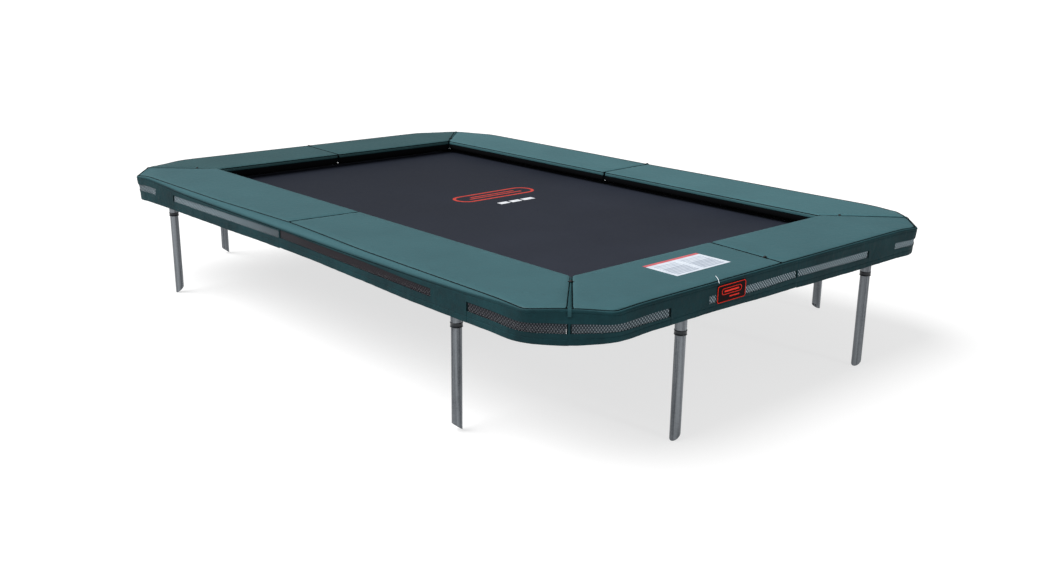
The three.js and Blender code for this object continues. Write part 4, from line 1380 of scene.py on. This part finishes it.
def badge_border():
    """The badge's raised border, a pill outline and two plain raised bars."""
    length, height = BADGE_HALF
    shape = Shape()
    shape.add(*rod(badge_outline(length - 4 * MM, height - 4 * MM, 9 * MM, 1.5 * MM), 1.5 * MM, 8, True))
    shape.add(*rod(badge_outline(62 * MM, 12 * MM, 11.5 * MM, 1.5 * MM, 8 * MM), 1.6 * MM, 8, True))
    for along, up, bar_length, width in ((0, 8, 92, 7), (18, -17, 62, 5)):
        y = BADGE_MIDDLE.y + (along + np.array((-0.5, 0, 0.5)) * bar_length) * MM
        line = xyz(BADGE_FACE + 1.6 * MM, y, BADGE_MIDDLE.z + up * MM)
        shape.add(*strip(line, (0, 0, 1), width * MM, 1.2 * MM, (1, 0, 0)))
    return shape


place(build("blank_badge", badge_field(), BADGE_RUBBER, 50, out=True), "badge_patch")
place(build("badge_border", badge_border(), BADGE_RED, 50, out=True))

TIE_LINE = (
    (1.868, -0.428, 0.6315), (1.885, -0.443, 0.634), (1.905, -0.460, 0.634), (1.917, -0.470, 0.631),
    (1.9245, -0.476, 0.623),
)
place(build("white_tie", rod(TIE_LINE, 1.3 * MM, 8), WHITE_TIE))

# ---- floor, light and camera ----

FLOOR = Look("studio_floor", 0.9, specular=0.1)
FLOOR.surface["Base Color"].default_value = (0.33, 0.33, 0.33, 1)
FLOOR.surface["Emission Color"].default_value = (1, 1, 1, 1)
FLOOR.surface["Emission Strength"].default_value = 0.7
floor_points = np.array([[-60, -60, -0.0005], [60, -60, -0.0005], [60, 60, -0.0005], [-60, 60, -0.0005]])
build("floor", (floor_points, ([[0, 1, 2, 3]],)), FLOOR.material, smooth=False)

scene = bpy.context.scene
scene.world = bpy.data.worlds.new("studio")
scene.world.use_nodes = True
nodes, links = scene.world.node_tree.nodes, scene.world.node_tree.links
background = nodes["Background"]
seen = nodes.new("ShaderNodeLightPath")
level = nodes.new("ShaderNodeMapRange")
level.inputs["To Min"].default_value = 0.26
level.inputs["To Max"].default_value = 1.02
links.new(seen.outputs["Is Camera Ray"], level.inputs["Value"])
links.new(level.outputs[0], background.inputs["Strength"])
background.inputs["Color"].default_value = (1, 1, 1, 1)


def sun(name, direction, strength, degrees):
    lamp = bpy.data.lights.new(name, "SUN")
    lamp.energy = strength
    lamp.angle = math.radians(degrees)
    made = bpy.data.objects.new(name, lamp)
    made.rotation_mode = "QUATERNION"
    made.rotation_quaternion = Vector(direction).to_track_quat("Z", "Y")
    scene.collection.objects.link(made)


sun("key", (-0.45, -0.6, 1.0), 4.3, 50)
sun("edge", (1.0, 0.1, 0.35), 0.5, 8)

CAMERA_AT = (4.4794, -3.8168, 1.8254)
YAW, PITCH, ROLL = 0.8407, 0.2877, 0.0111
camera_data = bpy.data.cameras.new("camera")
camera_data.lens = 37.553
camera_data.sensor_width = 36
camera_data.shift_x = 0.0068
camera_data.clip_end = 200
ahead = Vector((-math.sin(YAW) * math.cos(PITCH), math.cos(YAW) * math.cos(PITCH), -math.sin(PITCH)))
level_right = Vector((math.cos(YAW), math.sin(YAW), 0))
level_up = level_right.cross(ahead)
right = math.cos(ROLL) * level_right + math.sin(ROLL) * level_up
up = math.cos(ROLL) * level_up - math.sin(ROLL) * level_right
camera = bpy.data.objects.new("camera", camera_data)
camera.matrix_world = Matrix.Translation(CAMERA_AT) @ Matrix((right, up, -ahead)).transposed().to_4x4()
scene.collection.objects.link(camera)
scene.camera = camera
scene.view_settings.view_transform = "Standard"
